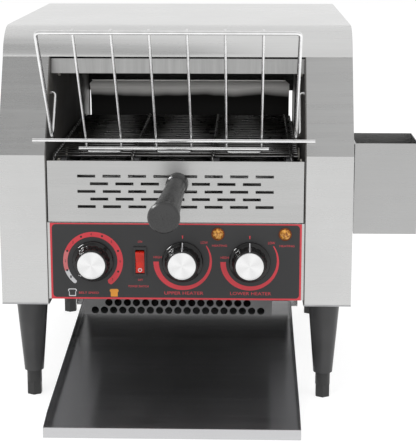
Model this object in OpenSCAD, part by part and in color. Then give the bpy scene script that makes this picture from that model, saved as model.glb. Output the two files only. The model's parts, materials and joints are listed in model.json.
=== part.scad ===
// Counter-top conveyor toaster.
// X runs to the right, Y to the rear and Z up. The pieces are laid out about
// the middle of the body, its front face and the counter, and place() moves
// them so that the origin is at the middle of the whole toaster's footprint.

/* [Body] */
// Width over the two side housings
body_w = 368; // [350:1:450]
// Depth from the front face to the rear panel
body_d = 410; // [390:1:500]
// Width of one side housing
housing_w = 50; // [46:1:60]
// Height of the upright part of the front
front_h = 160; // [155:1:170]
// Height of the leaning part of the front
lean_h = 96.5; // [85:0.5:116]
// Distance that the leaning front goes back
lean_d = 51; // [40:1:60]
// Thickness of the sheet steel
sheet = 1.2; // [1:0.1:1.5]
// Thickness of the base plate
base_t = 1.5; // [1.2:0.1:2.5]

/* [Roof] */
// Height of the roof cover
roof_h = 30.5; // [26:0.5:40]
// Distance that the roof's lip stands out over the front
lip_out = 1; // [0:0.5:2]
// Depth of the roof's rolled front
roll_d = 40.6; // [38:0.1:60]

/* [Controls] */
// Height of the control panel's top over the underside
controls_h = 89; // [85:1:95]
// Height of the panel's lower edge over the underside
panel_lift = 6.5; // [4:0.5:9]
// Depth of the fold under the panel
panel_fold_d = 26; // [20:1:32]
// Thickness of the printed overlay
overlay_t = 0.5; // [0.3:0.1:1]
// Bare strip of the panel on each side of the printed overlay
overlay_gap = 2.5; // [1:0.5:6]
// Height of the knobs' axes over the underside
knob_lift = 47.7; // [45:0.1:50]
// Place of the speed knob, left of the middle
speed_x = -86.8; // [-95:0.1:-80]
// Place of the upper heat knob, right of the middle
upper_heat_x = 7.2; // [0:0.1:12]
// Place of the lower heat knob, right of the middle
lower_heat_x = 77.4; // [70:0.1:85]
// Radius of a knob's skirt
knob_r = 21.5; // [18:0.5:25]
// How far a knob stands out
knob_h = 19; // [14:0.5:24]
// Radius of a knob's metal cap
cap_r = 14.5; // [10:0.5:16]
// Diameter of a knob's spindle
spindle_d = 6; // [4:0.5:8]
// Place of the power switch, left of the middle
switch_x = -37.5; // [-42:0.5:-34]
// Width of the switch bezel
switch_w = 13.4; // [12:0.1:16]
// Height of the switch bezel
switch_h = 31.6; // [28:0.1:34]
// Tilt of the rocker from one stop to the other, in degrees
rocker_throw = 16; // [10:1:20]
// Place of the first lamp, right of the middle
lamp_x = 44.1; // [42:0.1:46]
// Distance between the two lamps
lamp_pitch = 70; // [68:0.5:72]
// Height of the lamps over the underside
lamp_lift = 77.8; // [75:0.1:80]
// Radius of a lamp's lens
lamp_r = 6.8; // [5:0.1:8]

/* [Crumb drawer] */
// Height of the drawer front's top over the control panel
drawer_h = 66; // [62:1:70]
// Height of the crumb pan's walls
pan_h = 13; // [8:1:14]
// Number of slots in the widest row
slot_count = 8; // [4:1:8]
// Number of slot rows
slot_rows = 5; // [3:1:5]
// Length of a slot
slot_l = 18.6; // [12:0.1:20]
// Height of a slot
slot_t = 2.8; // [2:0.1:4]
// Distance between slots along a row
slot_pitch = 26.4; // [24:0.1:28]
// Distance between rows of slots
row_pitch = 8.07; // [7:0.01:9]
// Height of the top row under the drawer's top
slot_drop = 16.6; // [14:0.1:18]
// Length of the handle
handle_l = 101; // [80:1:125]
// Diameter of the handle's stem
handle_d = 20; // [16:1:26]
// Diameter of the handle's end
handle_end_d = 32; // [26:1:38]
// How far the handle droops, in degrees
handle_droop = 8.5; // [0:0.5:12]
// How far the handle turns to the left, in degrees
handle_swing = 5; // [0:0.5:8]
// Height of the handle's root under the drawer's top
handle_drop = 24; // [18:1:30]

/* [Belt] */
// Gap between the wire belt and the oven wall on each side
belt_gap = 7; // [5:0.5:12]
// Height of the belt's top over the drawer front's top
belt_rise = 3; // [2:0.5:5]
// Radius of the belt's loop on its outside
belt_r = 25; // [22:0.5:27]
// Wire diameter of the belt
belt_wire_d = 3; // [2:0.5:4]
// Distance between the belt's wires
belt_pitch = 12.7; // [10:0.1:20]
// Distance of the front shaft behind the front face
front_shaft_y = 30; // [28:1:34]
// Distance of the rear shaft ahead of the rear panel
rear_shaft_inset = 110; // [100:1:120]
// Diameter of the two belt shafts
shaft_d = 10; // [8:0.5:12]
// Thickness of a belt wheel
wheel_t = 6; // [4:0.5:8]
// Distance of the middle wheels from the centre line
inner_wheel_x = 42; // [36:1:50]

/* [Drive and electrics] */
// Distance of the motor shaft ahead of the rear shaft
motor_back = 70; // [60:1:80]
// Height of the motor shaft over the underside
motor_lift = 48; // [44:1:50]
// Diameter of the motor's output shaft
motor_shaft_d = 8; // [6:0.5:10]
// Number of teeth on a sprocket
teeth = 14; // [10:1:18]
// Radius of a sprocket's tooth tips
sprocket_r = 15; // [13:0.5:17]
// Width of the cooling fan
fan_w = 80; // [60:1:92]
// Thickness of the cooling fan
fan_t = 25; // [20:1:30]
// Place of the fan, right of the middle
fan_x = 55; // [50:1:60]
// Distance of the fan's axis behind the front face
fan_y = 112; // [100:1:120]
// Number of fan blades
blades = 7; // [5:1:9]
// Number of heating elements over the belt
upper_heater_count = 4; // [3:1:5]
// Number of heating elements inside the belt's loop
lower_heater_count = 3; // [2:1:3]
// Diameter of a heating element
heater_d = 9; // [7:0.5:11]
// Height of the upper elements over the belt
toast_room = 78; // [42:1:80]

/* [Toast path] */
// Gap between the toast tray and the planes of the oven walls
tray_gap = 4; // [3:0.5:8]
// How far the tray's lip stands in front of the body
tray_front = 96; // [70:1:110]
// Height of the tray's front lip
tray_lip = 11; // [8:0.5:16]
// Height of the tray's side walls
tray_wall = 14.5; // [12:0.5:18]
// Slope of the tray's floor, in degrees
tray_slope = 4.5; // [3:0.1:5]
// Distance of the tray's rear edge ahead of the rear panel
tray_rear_inset = 28; // [24:1:40]
// Length of the tray's runners
runner_l = 125; // [110:1:140]
// Radius of the rear deflector
deflector_r = 38; // [34:1:40]

/* [Feed rack] */
// Gap between the rack's side wire and the oven wall on each side
rack_gap = 8; // [6:0.5:14]
// Sideways play of the rack, taken up to the left
rack_shift = -2; // [-2:0.1:2]
// How far the rack's top rod stands in front of the body
rack_front = 88; // [70:1:130]
// Height of the rack's top rod over the pivot
rack_rise = 75; // [60:1:94]
// Wire diameter of the rack's frame
rack_wire_d = 4; // [3:0.5:5]
// Diameter of the pins at the frame's ends
rack_pin_d = 3.7; // [2.7:0.1:3.7]
// Reach of a bend in the rack's frame
rack_bend = 5; // [3:0.5:6]
// Wire diameter of the rack's slats
slat_d = 2.8; // [2:0.1:3.5]
// Reach of a bend in a slat
slat_bend = 4; // [2:0.5:5]
// Distance between two slats
slat_pitch = 36.4; // [30:0.1:40]
// Distance of the rack's pivot behind the front face
pivot_y = 46; // [44:1:50]
// Height of the rack's pivot over the fold of the front
pivot_lift = 59; // [54:1:64]

/* [Legs and bin] */
// Height of the body's underside over the counter
leg_h = 112; // [100:1:140]
// Distance of a leg's axis inside the body's side
leg_inset_x = 26; // [22:1:28]
// Distance of a front leg's axis behind the front face
leg_front_y = 38; // [30:1:45]
// Distance of a rear leg's axis ahead of the rear panel
leg_rear_inset = 54; // [45:1:65]
// Diameter of a leg at its top
leg_top_d = 34.2; // [28:0.1:38]
// Diameter of a leg at its lower end
leg_low_d = 20.8; // [18:0.1:26]
// Height of a foot's visible part
foot_h = 28; // [20:1:36]
// Diameter of a foot's sleeve
foot_d = 16; // [14:0.5:17.5]
// Diameter of a foot's stud
stud_d = 8; // [6:0.5:10]
// Outside width of the side bin
bin_w = 67.5; // [55:0.5:85]
// Outside depth of the side bin
bin_d = 70; // [55:1:90]
// Outside height of the side bin
bin_h = 98.5; // [80:0.5:110]
// Distance of the bin behind the front face
bin_y = 50; // [40:1:60]
// Height of the bin's floor over the underside
bin_lift = 67; // [60:1:80]
// Length of the cable gland behind the rear panel
gland_l = 12; // [8:1:20]

/* [Fits] */
// Clearance of a shaft in its bore, on the radius
running_fit = 0.05; // [0.02:0.01:0.1]
// Gap between pieces that slide or swing past each other
slip = 0.3; // [0.2:0.1:0.5]
// Gap round the drawer front
drawer_gap = 1; // [0.5:0.1:2]

/* [Hidden] */
$fn = 48;
// Reach of a cut past the face that it opens
cut = 1;
// Clear way between the housings
half_w = body_w / 2;
inner_x = half_w - housing_w;
outer_wall_x = inner_x + sheet;
// Widths that follow the clear way
overlay_w = 2 * (inner_x - overlay_gap);
belt_w = 2 * (inner_x - belt_gap);
tray_w = 2 * (inner_x - tray_gap);
rack_half_w = inner_x - rack_gap;
// Heights over the counter
floor_z = leg_h + base_t;
bend_z = leg_h + front_h;
seam_z = bend_z + lean_h;
roof_z = seam_z + roof_h;
lean_angle = atan(lean_d / lean_h);
cover_d = body_d - sheet;
panel_low_z = leg_h + panel_lift;
panel_top_z = leg_h + controls_h;
drawer_top_z = panel_top_z + drawer_h;
belt_top_z = drawer_top_z + belt_rise;
shaft_z = belt_top_z - belt_r;
rear_shaft_y = body_d - rear_shaft_inset;
rod_ring_r = belt_r - belt_wire_d / 2;
wheel_r = belt_r - belt_wire_d - slip;
outer_wheel_x = belt_w / 2 - 9;
wheel_xs = [-outer_wheel_x, -inner_wheel_x, inner_wheel_x, outer_wheel_x];
// Oven
upper_heater_z = belt_top_z + toast_room;
reflector_z = upper_heater_z + 14;
header_y = lean_d + 7;
header_low_z = seam_z - 18.5;
header_high_z = seam_z - 2.6;
oven_front_y = header_y + 17;
deflector_y = rear_shaft_y + belt_r + 10;
deflector_top_z = shaft_z + 25 + deflector_r;
drop_y = deflector_y + deflector_r;
compartment_rear_y = rear_shaft_y - 10;
bush_r = heater_d / 2 + 3;
bush_flange_r = bush_r + 2;
wall_room = 5.2;
heater_reach = outer_wall_x + 15;
// Shaft bearings
bearing_r = shaft_d / 2 + 5;
bearing_flange_r = bearing_r + 3;
// Drive
motor_y = rear_shaft_y - motor_back;
motor_z = leg_h + motor_lift;
motor_hole_r = motor_shaft_d / 2 + 3;
chain_x = outer_wall_x + 12;
chain_in_r = sprocket_r + 0.4;
chain_t = 5;
chain_lap = 0.5;
// Controls
knob_z = leg_h + knob_lift;
control_front_y = sheet + 6;
spindle_end_y = control_front_y + 12;
lamp_z = leg_h + lamp_lift;
lamp_xs = [lamp_x, lamp_x + lamp_pitch];
rocker_w = switch_w - 4.2;
rocker_h = switch_h - 7.6;
rocker_pivot_y = 4;
// Handle
handle_z = drawer_top_z - handle_drop;
handle_x = 2;
handle_rim = 1.5;
handle_tilt = acos(cos(handle_droop) * cos(handle_swing));
handle_reach = handle_l * cos(handle_tilt) + (handle_end_d / 2 - handle_rim) * sin(handle_tilt);
// Tray
tray_half_w = tray_w / 2;
tray_sheet = 1;
tray_ramp_d = 29;
tray_rear_y = body_d - tray_rear_inset;
tray_tan = tan(tray_slope);
runner_t = 3;
runner_w = 5;
runner_z = (tray_rear_y + tray_front) * tray_tan + 0.5;
rail_x = tray_half_w + runner_w + 2;
// Rack
weld = 0.05;
pivot_z = bend_z + pivot_lift;
rack_top_z = pivot_z + rack_rise;
stub_z = bend_z + 15;
stub_rod_y = (stub_z - bend_z) * tan(lean_angle) - (rack_wire_d / 2 + slip) / cos(lean_angle);
// Legs
leg_xs = [-(half_w - leg_inset_x), half_w - leg_inset_x];
leg_ys = [leg_front_y, body_d - leg_rear_inset];
// Bin
bracket_t = 1.5;
bin_x = half_w + 2 * bracket_t + 1.5;
bin_z = leg_h + bin_lift;
bin_sheet = 1;
// Screws
screw_head_r = 4;
screw_shank_r = 1.8;
screw_hole_r = 2.1;
screw_l = 8;
screw_edge_h = 1.4;
screw_dome_h = 1;
screw_slot_l = 4;
screw_slot_t = 0.8;
rear_screw_x = half_w - 12;
rear_screw_zs = [floor_z + 30, floor_z + 125, seam_z - 35];
bracket_screw_ys = [bin_y + 15, bin_y + bin_d - 15];
bracket_screw_z = bin_z + bin_h - 48;
// Whole footprint
middle_x = (bin_x + bin_w - half_w) / 2;
front_reach = max(tray_front, rack_front + rack_wire_d / 2, handle_reach);
middle_y = (body_d + gland_l - front_reach) / 2;

// ---- Shared shapes ----

module place() {
    translate([-middle_x, -middle_y, 0]) children();
}

module block(low, high) {
    translate(low) cube(high - low);
}

// Mirrored copy for the left side
module on_side(side) {
    if (side < 0) {
        mirror([1, 0, 0]) children();
    } else {
        children();
    }
}

module rod_x(x0, x1, y, z, r) {
    translate([x0, y, z]) rotate([0, 90, 0]) cylinder(r = r, h = x1 - x0);
}

module rod_y(x, y0, y1, z, r) {
    translate([x, y0, z]) rotate([-90, 0, 0]) cylinder(r = r, h = y1 - y0);
}

// Outline in the Y-Z plane, drawn out along X
module profile_x(points, x0, x1) {
    translate([x0, 0, 0]) rotate([90, 0, 90]) linear_extrude(x1 - x0) polygon(points);
}

// Shape turned about an axis that points to the front
module turned_front(x, y, z, points) {
    translate([x, y, z]) rotate([90, 0, 0]) rotate_extrude() polygon(points);
}

function unit(v) = v / norm(v);

// Points of a wire's path, with each inner corner drawn as a smooth bend
function bent(points, reach) = [
    for (i = [0 : len(points) - 1])
        let (p = points[i], last = len(points) - 1)
        if (i == 0 || i == last) p
        else
            let (
                back = points[i - 1] - p,
                on = points[i + 1] - p,
                r = min(reach, 0.45 * norm(back), 0.45 * norm(on)),
                a = p + unit(back) * r,
                b = p + unit(on) * r
            )
            for (t = [0 : 0.25 : 1]) (1 - t) * (1 - t) * a + 2 * t * (1 - t) * p + t * t * b,
];

// Direction of a path at one of its points
function heading(path, i) = unit(
    (i == 0 ? [0, 0, 0] : unit(path[i] - path[i - 1]))
    + (i == len(path) - 1 ? [0, 0, 0] : unit(path[i + 1] - path[i]))
);

// Sideways directions along a path, each carried on from the one before
function sideways(path, side, i = 0) = i == len(path) ? [] :
    let (t = heading(path, i), n = unit(side - (side * t) * t))
    concat([n], sideways(path, n, i + 1));

// Round wire along a path, with 12 flats round its section
module wire(path, side, d) {
    flats = 12;
    normals = sideways(path, side);
    rings = [for (i = [0 : len(path) - 1])
        let (t = heading(path, i), n = normals[i], m = cross(t, n))
        for (k = [0 : flats - 1]) path[i] + d / 2 * (cos(360 * k / flats) * n + sin(360 * k / flats) * m)];
    walls = [for (i = [0 : len(path) - 2], k = [0 : flats - 1])
        let (a = i * flats + k, b = i * flats + (k + 1) % flats)
        [a, a + flats, b + flats, b]];
    end = (len(path) - 1) * flats;
    polyhedron(rings, concat(
        [[for (k = [0 : flats - 1]) k]],
        walls,
        [[for (k = [flats - 1 : -1 : 0]) end + k]]
    ));
}

// Solid loop with round ends, from one axis to the other, both along X
module loop_x(y0, z0, y1, z1, r, x0, x1) {
    l = norm([y1 - y0, z1 - z0]);
    turn = atan2(z1 - z0, y1 - y0);
    translate([x0, y0, z0]) rotate([turn, 0, 0]) {
        rod_x(0, x1 - x0, 0, 0, r);
        rod_x(0, x1 - x0, l, 0, r);
        translate([0, 0, -r]) cube([x1 - x0, l, 2 * r]);
    }
}

// Flanged ring that stands in a hole of the right oven wall
ring_in = 2;
ring_out = 5;
ring_flange_t = 3;

module wall_ring(y, z, r, flange_r, bore_r) {
    difference() {
        union() {
            rod_x(inner_x - ring_in, outer_wall_x + ring_out, y, z, r);
            rod_x(outer_wall_x, outer_wall_x + ring_flange_t, y, z, flange_r);
        }
        rod_x(inner_x - ring_in - cut, outer_wall_x + ring_out + cut, y, z, bore_r);
    }
}

// ---- Casing ----

// Side view of a housing, drawn in by a wall thickness
function housing_outline(wall) = [
    [wall, floor_z + wall],
    [wall, bend_z - wall * tan(lean_angle / 2)],
    [lean_d - wall * tan(lean_angle) + wall / cos(lean_angle), seam_z - wall],
    [cover_d - wall, seam_z - wall],
    [cover_d - wall, floor_z + wall],
];

module side_cover(side) {
    on_side(side) difference() {
        profile_x(housing_outline(0), outer_wall_x, half_w);
        profile_x(housing_outline(sheet), outer_wall_x - cut, half_w - sheet);
        for (z = rear_screw_zs) {
            rod_y(rear_screw_x, cover_d - sheet - cut, cover_d + cut, z, screw_hole_r);
        }
        for (y = leg_ys) {
            translate([leg_xs[1], y, floor_z - cut]) cylinder(r = leg_hole_r, h = sheet + 2 * cut);
        }
        if (side < 0) {
            rod_y(gland_x, cover_d - sheet - cut, cover_d + cut, gland_z, gland_hole_r);
        } else {
            for (y = bracket_screw_ys) {
                rod_x(half_w - sheet - cut, half_w + cut, y, bracket_screw_z, screw_hole_r);
            }
        }
    }
}

module left_side_cover() {
    color("gainsboro") side_cover(-1);
}

module right_side_cover() {
    color("gainsboro") side_cover(1);
}

// Oven wall with the holes for what it carries
module inner_wall(side) {
    on_side(side) difference() {
        profile_x(housing_outline(0), inner_x, outer_wall_x);
        for (y = [front_shaft_y, rear_shaft_y]) {
            rod_x(inner_x - cut, outer_wall_x + cut, y, shaft_z, bearing_r);
        }
        for (y = upper_heater_ys) {
            rod_x(inner_x - cut, outer_wall_x + cut, y, upper_heater_z, bush_r);
        }
        for (y = lower_heater_ys) {
            rod_x(inner_x - cut, outer_wall_x + cut, y, shaft_z, bush_r);
        }
        rod_x(inner_x - cut, outer_wall_x + cut, pivot_y, pivot_z, rack_pin_d / 2 + running_fit);
        if (side > 0) {
            rod_x(inner_x - cut, outer_wall_x + cut, motor_y, motor_z, motor_hole_r);
        }
    }
}

module left_inner_wall() {
    color("dimgray") inner_wall(-1);
}

module right_inner_wall() {
    color("dimgray") inner_wall(1);
}

// Roll between the roof's lip and its flat top
roll_r = (roll_d * roll_d + roof_h * roof_h) / (2 * roof_h);
roll_y = lean_d - lip_out + roll_d;
roll_z = roof_z - roll_r;

// Solid with the roof's outside, drawn in by a wall thickness
module roof_solid(wall, low_z) {
    x = half_w - wall;
    far = 2 * roll_r;
    difference() {
        rod_x(-x, x, roll_y, roll_z, roll_r - wall);
        block([-half_w - cut, roll_y, roll_z - far], [half_w + cut, roll_y + far, roll_z + far]);
        block([-half_w - cut, roll_y - far, roll_z - far], [half_w + cut, roll_y + cut, low_z]);
    }
    block([-x, roll_y, low_z], [x, body_d - wall, roof_z - wall]);
}

module roof_cover() {
    color("whitesmoke") difference() {
        roof_solid(0, seam_z);
        roof_solid(sheet, seam_z - cut);
    }
}

// Window behind the deflector, and two rows of vents under the roof
exit_low_z = shaft_z + 1;
exit_high_z = shaft_z + 41.5;
exit_half_w = inner_x - 1;
vent_w = 10;
vent_t = 4;
vent_pitch = 16;
vent_reach = 7;
vent_drops = [18, 28];

module rear_panel() {
    color("gainsboro") difference() {
        block([-half_w, cover_d, floor_z], [half_w, body_d, seam_z]);
        block([-exit_half_w, cover_d - cut, exit_low_z], [exit_half_w, body_d + cut, exit_high_z]);
        for (side = [-1, 1], z = rear_screw_zs) {
            rod_y(side * rear_screw_x, cover_d - cut, body_d + cut, z, screw_hole_r);
        }
        rod_y(-gland_x, cover_d - cut, body_d + cut, gland_z, gland_hole_r);
        for (i = [-vent_reach : vent_reach], drop = vent_drops) {
            x = i * vent_pitch;
            z = seam_z - drop;
            block(
                [x - vent_w / 2, cover_d - cut, z - vent_t / 2],
                [x + vent_w / 2, body_d + cut, z + vent_t / 2]
            );
        }
    }
}

// Hole that the toast drops through
drop_hole_half_w = inner_x - 3;
drop_hole_rear_y = drop_y + 12;

module base_plate() {
    color("silver") difference() {
        block([-half_w, 0, leg_h], [half_w, body_d, floor_z]);
        block([-inner_x, -cut, leg_h - cut], [inner_x, panel_fold_d - sheet, floor_z + cut]);
        block(
            [-drop_hole_half_w, compartment_rear_y + 2 * sheet, leg_h - cut],
            [drop_hole_half_w, drop_hole_rear_y, floor_z + cut]
        );
        translate([fan_x, fan_y, leg_h - cut]) cylinder(r = fan_bore_r, h = base_t + 2 * cut);
        for (x = leg_xs, y = leg_ys) {
            translate([x, y, leg_h - cut]) cylinder(r = leg_hole_r, h = base_t + 2 * cut);
        }
    }
}

// Shelf under the crumb pan, folded down behind the electrics
module compartment_cover() {
    color("silver") {
        block(
            [-inner_x, sheet, panel_top_z - sheet],
            [inner_x, compartment_rear_y + sheet, panel_top_z]
        );
        block(
            [-inner_x, compartment_rear_y, floor_z],
            [inner_x, compartment_rear_y + sheet, panel_top_z]
        );
    }
}

module control_panel() {
    color("silver") {
        difference() {
            block([-inner_x, 0, panel_low_z], [inner_x, sheet, panel_top_z]);
            control_cutouts(-cut, sheet + cut);
        }
        block([-inner_x, 0, panel_low_z], [inner_x, panel_fold_d, panel_low_z + sheet]);
        block([-inner_x, panel_fold_d - sheet, floor_z], [inner_x, panel_fold_d, panel_low_z + sheet]);
    }
}

// Openings for the spindles, the switch and the lamps
spindle_hole_r = spindle_d / 2 + 2;
bezel_lap = 1;

module control_cutouts(y0, y1) {
    for (x = [speed_x, upper_heat_x, lower_heat_x]) {
        rod_y(x, y0, y1, knob_z, spindle_hole_r);
    }
    for (x = lamp_xs) {
        rod_y(x, y0, y1, lamp_z, lamp_barrel_r);
    }
    block(
        [switch_x - switch_w / 2 + bezel_lap, y0, knob_z - switch_h / 2 + bezel_lap],
        [switch_x + switch_w / 2 - bezel_lap, y1, knob_z + switch_h / 2 - bezel_lap]
    );
}

module panel_overlay() {
    color("darkslategray") difference() {
        block([-overlay_w / 2, -overlay_t, panel_low_z], [overlay_w / 2, 0, panel_top_z - slip]);
        control_cutouts(-overlay_t - cut, cut);
    }
}

// Strip over the oven's mouth, folded back at its top and bottom
header_fold = 14;

module header_panel() {
    color("silver") {
        block([-inner_x, header_y, header_low_z], [inner_x, header_y + sheet, header_high_z]);
        block([-inner_x, header_y, header_low_z], [inner_x, oven_front_y, header_low_z + sheet]);
        block(
            [-inner_x, header_y, header_high_z - sheet],
            [inner_x, header_y + header_fold, header_high_z]
        );
    }
}

// ---- Oven ----

function spread(first, last, count) = [for (i = [0 : count - 1]) first + (last - first) * i / (count - 1)];

upper_heater_ys = spread(oven_front_y + 40, rear_shaft_y - 20, upper_heater_count);
lower_heater_ys = spread(front_shaft_y + 62, rear_shaft_y - 62, lower_heater_count);

// Folded sheet over the upper heating elements
reflector_rear_y = deflector_y - 12;
reflector_fold = 8;

module upper_reflector() {
    color("silver") {
        block([-inner_x, oven_front_y, reflector_z], [inner_x, reflector_rear_y, reflector_z + sheet]);
        for (y = [oven_front_y, reflector_rear_y - sheet]) {
            block([-inner_x, y, reflector_z - reflector_fold], [inner_x, y + sheet, reflector_z]);
        }
    }
}

// Curved sheet that turns the toast down behind the belt, with cut corners and two ears
deflector_half_w = inner_x - 6.5;
deflector_low_z = panel_top_z - 4;
deflector_t = 1;
deflector_corner = 4.6;
ear_low_z = deflector_low_z + 4;
ear_h = 30;

module rear_deflector() {
    arc_z = deflector_top_z - deflector_r;
    far = 2 * deflector_r;
    color("lightgray") {
        difference() {
            rod_x(-deflector_half_w, deflector_half_w, deflector_y, arc_z, deflector_r + deflector_t);
            rod_x(-half_w, half_w, deflector_y, arc_z, deflector_r);
            block([-half_w, deflector_y - far, arc_z - far], [half_w, deflector_y, arc_z + far]);
            block([-half_w, deflector_y - cut, arc_z - far], [half_w, deflector_y + far, arc_z]);
            for (side = [-1, 1]) {
                translate([side * deflector_half_w, deflector_y, deflector_top_z])
                    rotate([0, 45, 0]) block(
                        [-deflector_corner, -cut, -deflector_corner],
                        [deflector_corner, far, deflector_corner]
                    );
            }
        }
        block(
            [-deflector_half_w, drop_y, deflector_low_z],
            [deflector_half_w, drop_y + deflector_t, arc_z]
        );
        for (side = [-1, 1]) {
            on_side(side) block(
                [deflector_half_w - cut, drop_y, ear_low_z],
                [inner_x, drop_y + deflector_t, ear_low_z + ear_h]
            );
        }
    }
}

// Ramp that brings the toast forward onto the tray
chute_top_z = deflector_low_z - slip;
chute_turn_z = floor_z + 58;
chute_end_y = compartment_rear_y - 20;
chute_lift = 11;
chute_end_z = tray_floor_z(chute_end_y) + chute_lift;
chute_t = 1;
chute_low_t = 1.5;
chute_side_gap = 2;

module toast_chute() {
    low_half_w = tray_half_w - tray_sheet - chute_side_gap;
    color("silver") {
        profile_x([
            [drop_y, chute_turn_z],
            [drop_y, chute_top_z],
            [drop_y + chute_t, chute_top_z],
            [drop_y + chute_t, chute_turn_z],
        ], -inner_x, inner_x);
        profile_x([
            [drop_y, chute_turn_z],
            [drop_y + chute_t, chute_turn_z],
            [chute_end_y + chute_low_t, chute_end_z],
            [chute_end_y, chute_end_z],
        ], -low_half_w, low_half_w);
    }
}

module heater(y, z) {
    rod_x(-heater_reach, heater_reach, y, z, heater_d / 2);
}

module upper_heaters() {
    color("saddlebrown") for (y = upper_heater_ys) {
        heater(y, upper_heater_z);
    }
}

module lower_heaters() {
    color("saddlebrown") for (y = lower_heater_ys) {
        heater(y, shaft_z);
    }
}

module heater_bushes() {
    color("ivory") for (side = [-1, 1]) {
        on_side(side) {
            for (y = upper_heater_ys) {
                wall_ring(y, upper_heater_z, bush_r, bush_flange_r, heater_d / 2);
            }
            for (y = lower_heater_ys) {
                wall_ring(y, shaft_z, bush_r, bush_flange_r, heater_d / 2);
            }
        }
    }
}

// ---- Underside ----

guard_half_w = 102;
guard_y = 40;
guard_d = 150;
guard_h = 22.3;
guard_sheet = 1;
guard_pitch = 10;
guard_hole_r = 4;
guard_reach = 9;
guard_row_lift = 4.7;

// Perforated box over the fan's inlet
module air_intake_guard() {
    low_z = leg_h - guard_h;
    row_z = low_z + guard_row_lift;
    high_row_z = row_z + guard_pitch * sin(60);
    hole_y = guard_y + guard_sheet + cut;
    color("gray") difference() {
        block([-guard_half_w, guard_y, low_z], [guard_half_w, guard_y + guard_d, leg_h]);
        block(
            [-guard_half_w + guard_sheet, guard_y + guard_sheet, low_z + guard_sheet],
            [guard_half_w - guard_sheet, guard_y + guard_d - guard_sheet, leg_h + cut]
        );
        for (i = [-guard_reach : guard_reach]) {
            rod_y(i * guard_pitch, guard_y - cut, hole_y, row_z, guard_hole_r);
        }
        for (i = [1.5 - guard_reach : guard_reach - 1.5]) {
            rod_y(i * guard_pitch, guard_y - cut, hole_y, high_row_z, guard_hole_r);
        }
    }
}

// Hanging rails that carry the tray's runners
module tray_rails() {
    low_z = runner_z - slip - sheet;
    front_y = tray_rear_y - runner_l;
    rear_y = tray_rear_y + 5;
    color("silver") for (side = [-1, 1]) {
        on_side(side) {
            block([rail_x, front_y, low_z], [rail_x + sheet, rear_y, leg_h]);
            block([tray_half_w + slip, front_y, low_z], [rail_x, rear_y, low_z + sheet]);
        }
    }
}

function tray_floor_z(y) = (y + tray_front) * tray_tan;

module toast_tray() {
    front_y = -tray_front;
    ramp_y = front_y + tray_ramp_d;
    far = 2 * tray_wall;
    color("gray") {
        difference() {
            profile_x([
                [front_y, 0],
                [front_y, tray_lip],
                [ramp_y, tray_floor_z(ramp_y) + tray_wall],
                [tray_rear_y, tray_floor_z(tray_rear_y) + tray_wall],
                [tray_rear_y, tray_floor_z(tray_rear_y)],
            ], -tray_half_w, tray_half_w);
            profile_x([
                [front_y + tray_sheet, tray_sheet],
                [front_y + tray_sheet, tray_lip + far],
                [tray_rear_y + cut, tray_floor_z(tray_rear_y) + tray_wall + far],
                [tray_rear_y + cut, tray_floor_z(tray_rear_y + cut) + tray_sheet],
            ], -tray_half_w + tray_sheet, tray_half_w - tray_sheet);
        }
        for (side = [-1, 1]) {
            on_side(side) block(
                [tray_half_w - tray_sheet / 2, tray_rear_y - runner_l, runner_z],
                [tray_half_w + runner_w, tray_rear_y, runner_z + runner_t]
            );
        }
    }
}

// ---- Crumb drawer ----

drawer_low_gap = 0.8;
drawer_high_gap = 0.5;
pan_sheet = 1;
pan_rear_y = compartment_rear_y - 5;

module drawer_front() {
    front_half_w = inner_x - drawer_gap;
    low_z = panel_top_z + drawer_low_gap;
    high_z = drawer_top_z - drawer_high_gap;
    color("gainsboro") difference() {
        block([-front_half_w, 0, low_z], [front_half_w, sheet, high_z]);
        for (row = [0 : slot_rows - 1]) {
            count = slot_count - row % 2;
            for (i = [0 : count - 1]) {
                x = (i - (count - 1) / 2) * slot_pitch;
                z = drawer_top_z - slot_drop - row * row_pitch;
                block(
                    [x - slot_l / 2, -cut, z - slot_t / 2],
                    [x + slot_l / 2, sheet + cut, z + slot_t / 2]
                );
            }
        }
    }
}

module crumb_pan() {
    low_z = panel_top_z + slip;
    half = belt_w / 2 + 2;
    color("silver") difference() {
        block([-half, sheet, low_z], [half, pan_rear_y, low_z + pan_h]);
        block(
            [-half + pan_sheet, sheet + pan_sheet, low_z + pan_sheet],
            [half - pan_sheet, pan_rear_y - pan_sheet, low_z + pan_h + cut]
        );
    }
}

// Stem with a collar at its root, which widens to a flat end with a rolled rim
module drawer_handle() {
    root_r = handle_d / 2;
    end_r = handle_end_d / 2;
    collar_r = root_r + 1.5;
    back = end_r + 24;
    color("dimgray") difference() {
        translate([handle_x, 0, handle_z]) rotate([0, 90 + handle_droop, -90 - handle_swing])
            rotate_extrude() polygon([
                [0, -4 * handle_rim],
                [collar_r, -4 * handle_rim],
                [collar_r, 4 * handle_rim],
                [root_r, 5 * handle_rim],
                [root_r + handle_rim, handle_l / 2],
                [end_r - handle_rim, handle_l - 6 * handle_rim],
                [end_r, handle_l - 3 * handle_rim],
                [end_r, handle_l - handle_rim],
                [end_r - handle_rim, handle_l],
                [0, handle_l + handle_rim / 2],
            ]);
        block([-back, 0, handle_z - back], [back, back, handle_z + back]);
    }
}

// ---- Feed rack ----

// Point beside the line from a to b: so far along it, and so far to its rear
function beside(a, b, along, off) =
    let (u = (b - a) / norm(b - a))
    a + u * along + off * [-u[1], u[0]];

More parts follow.
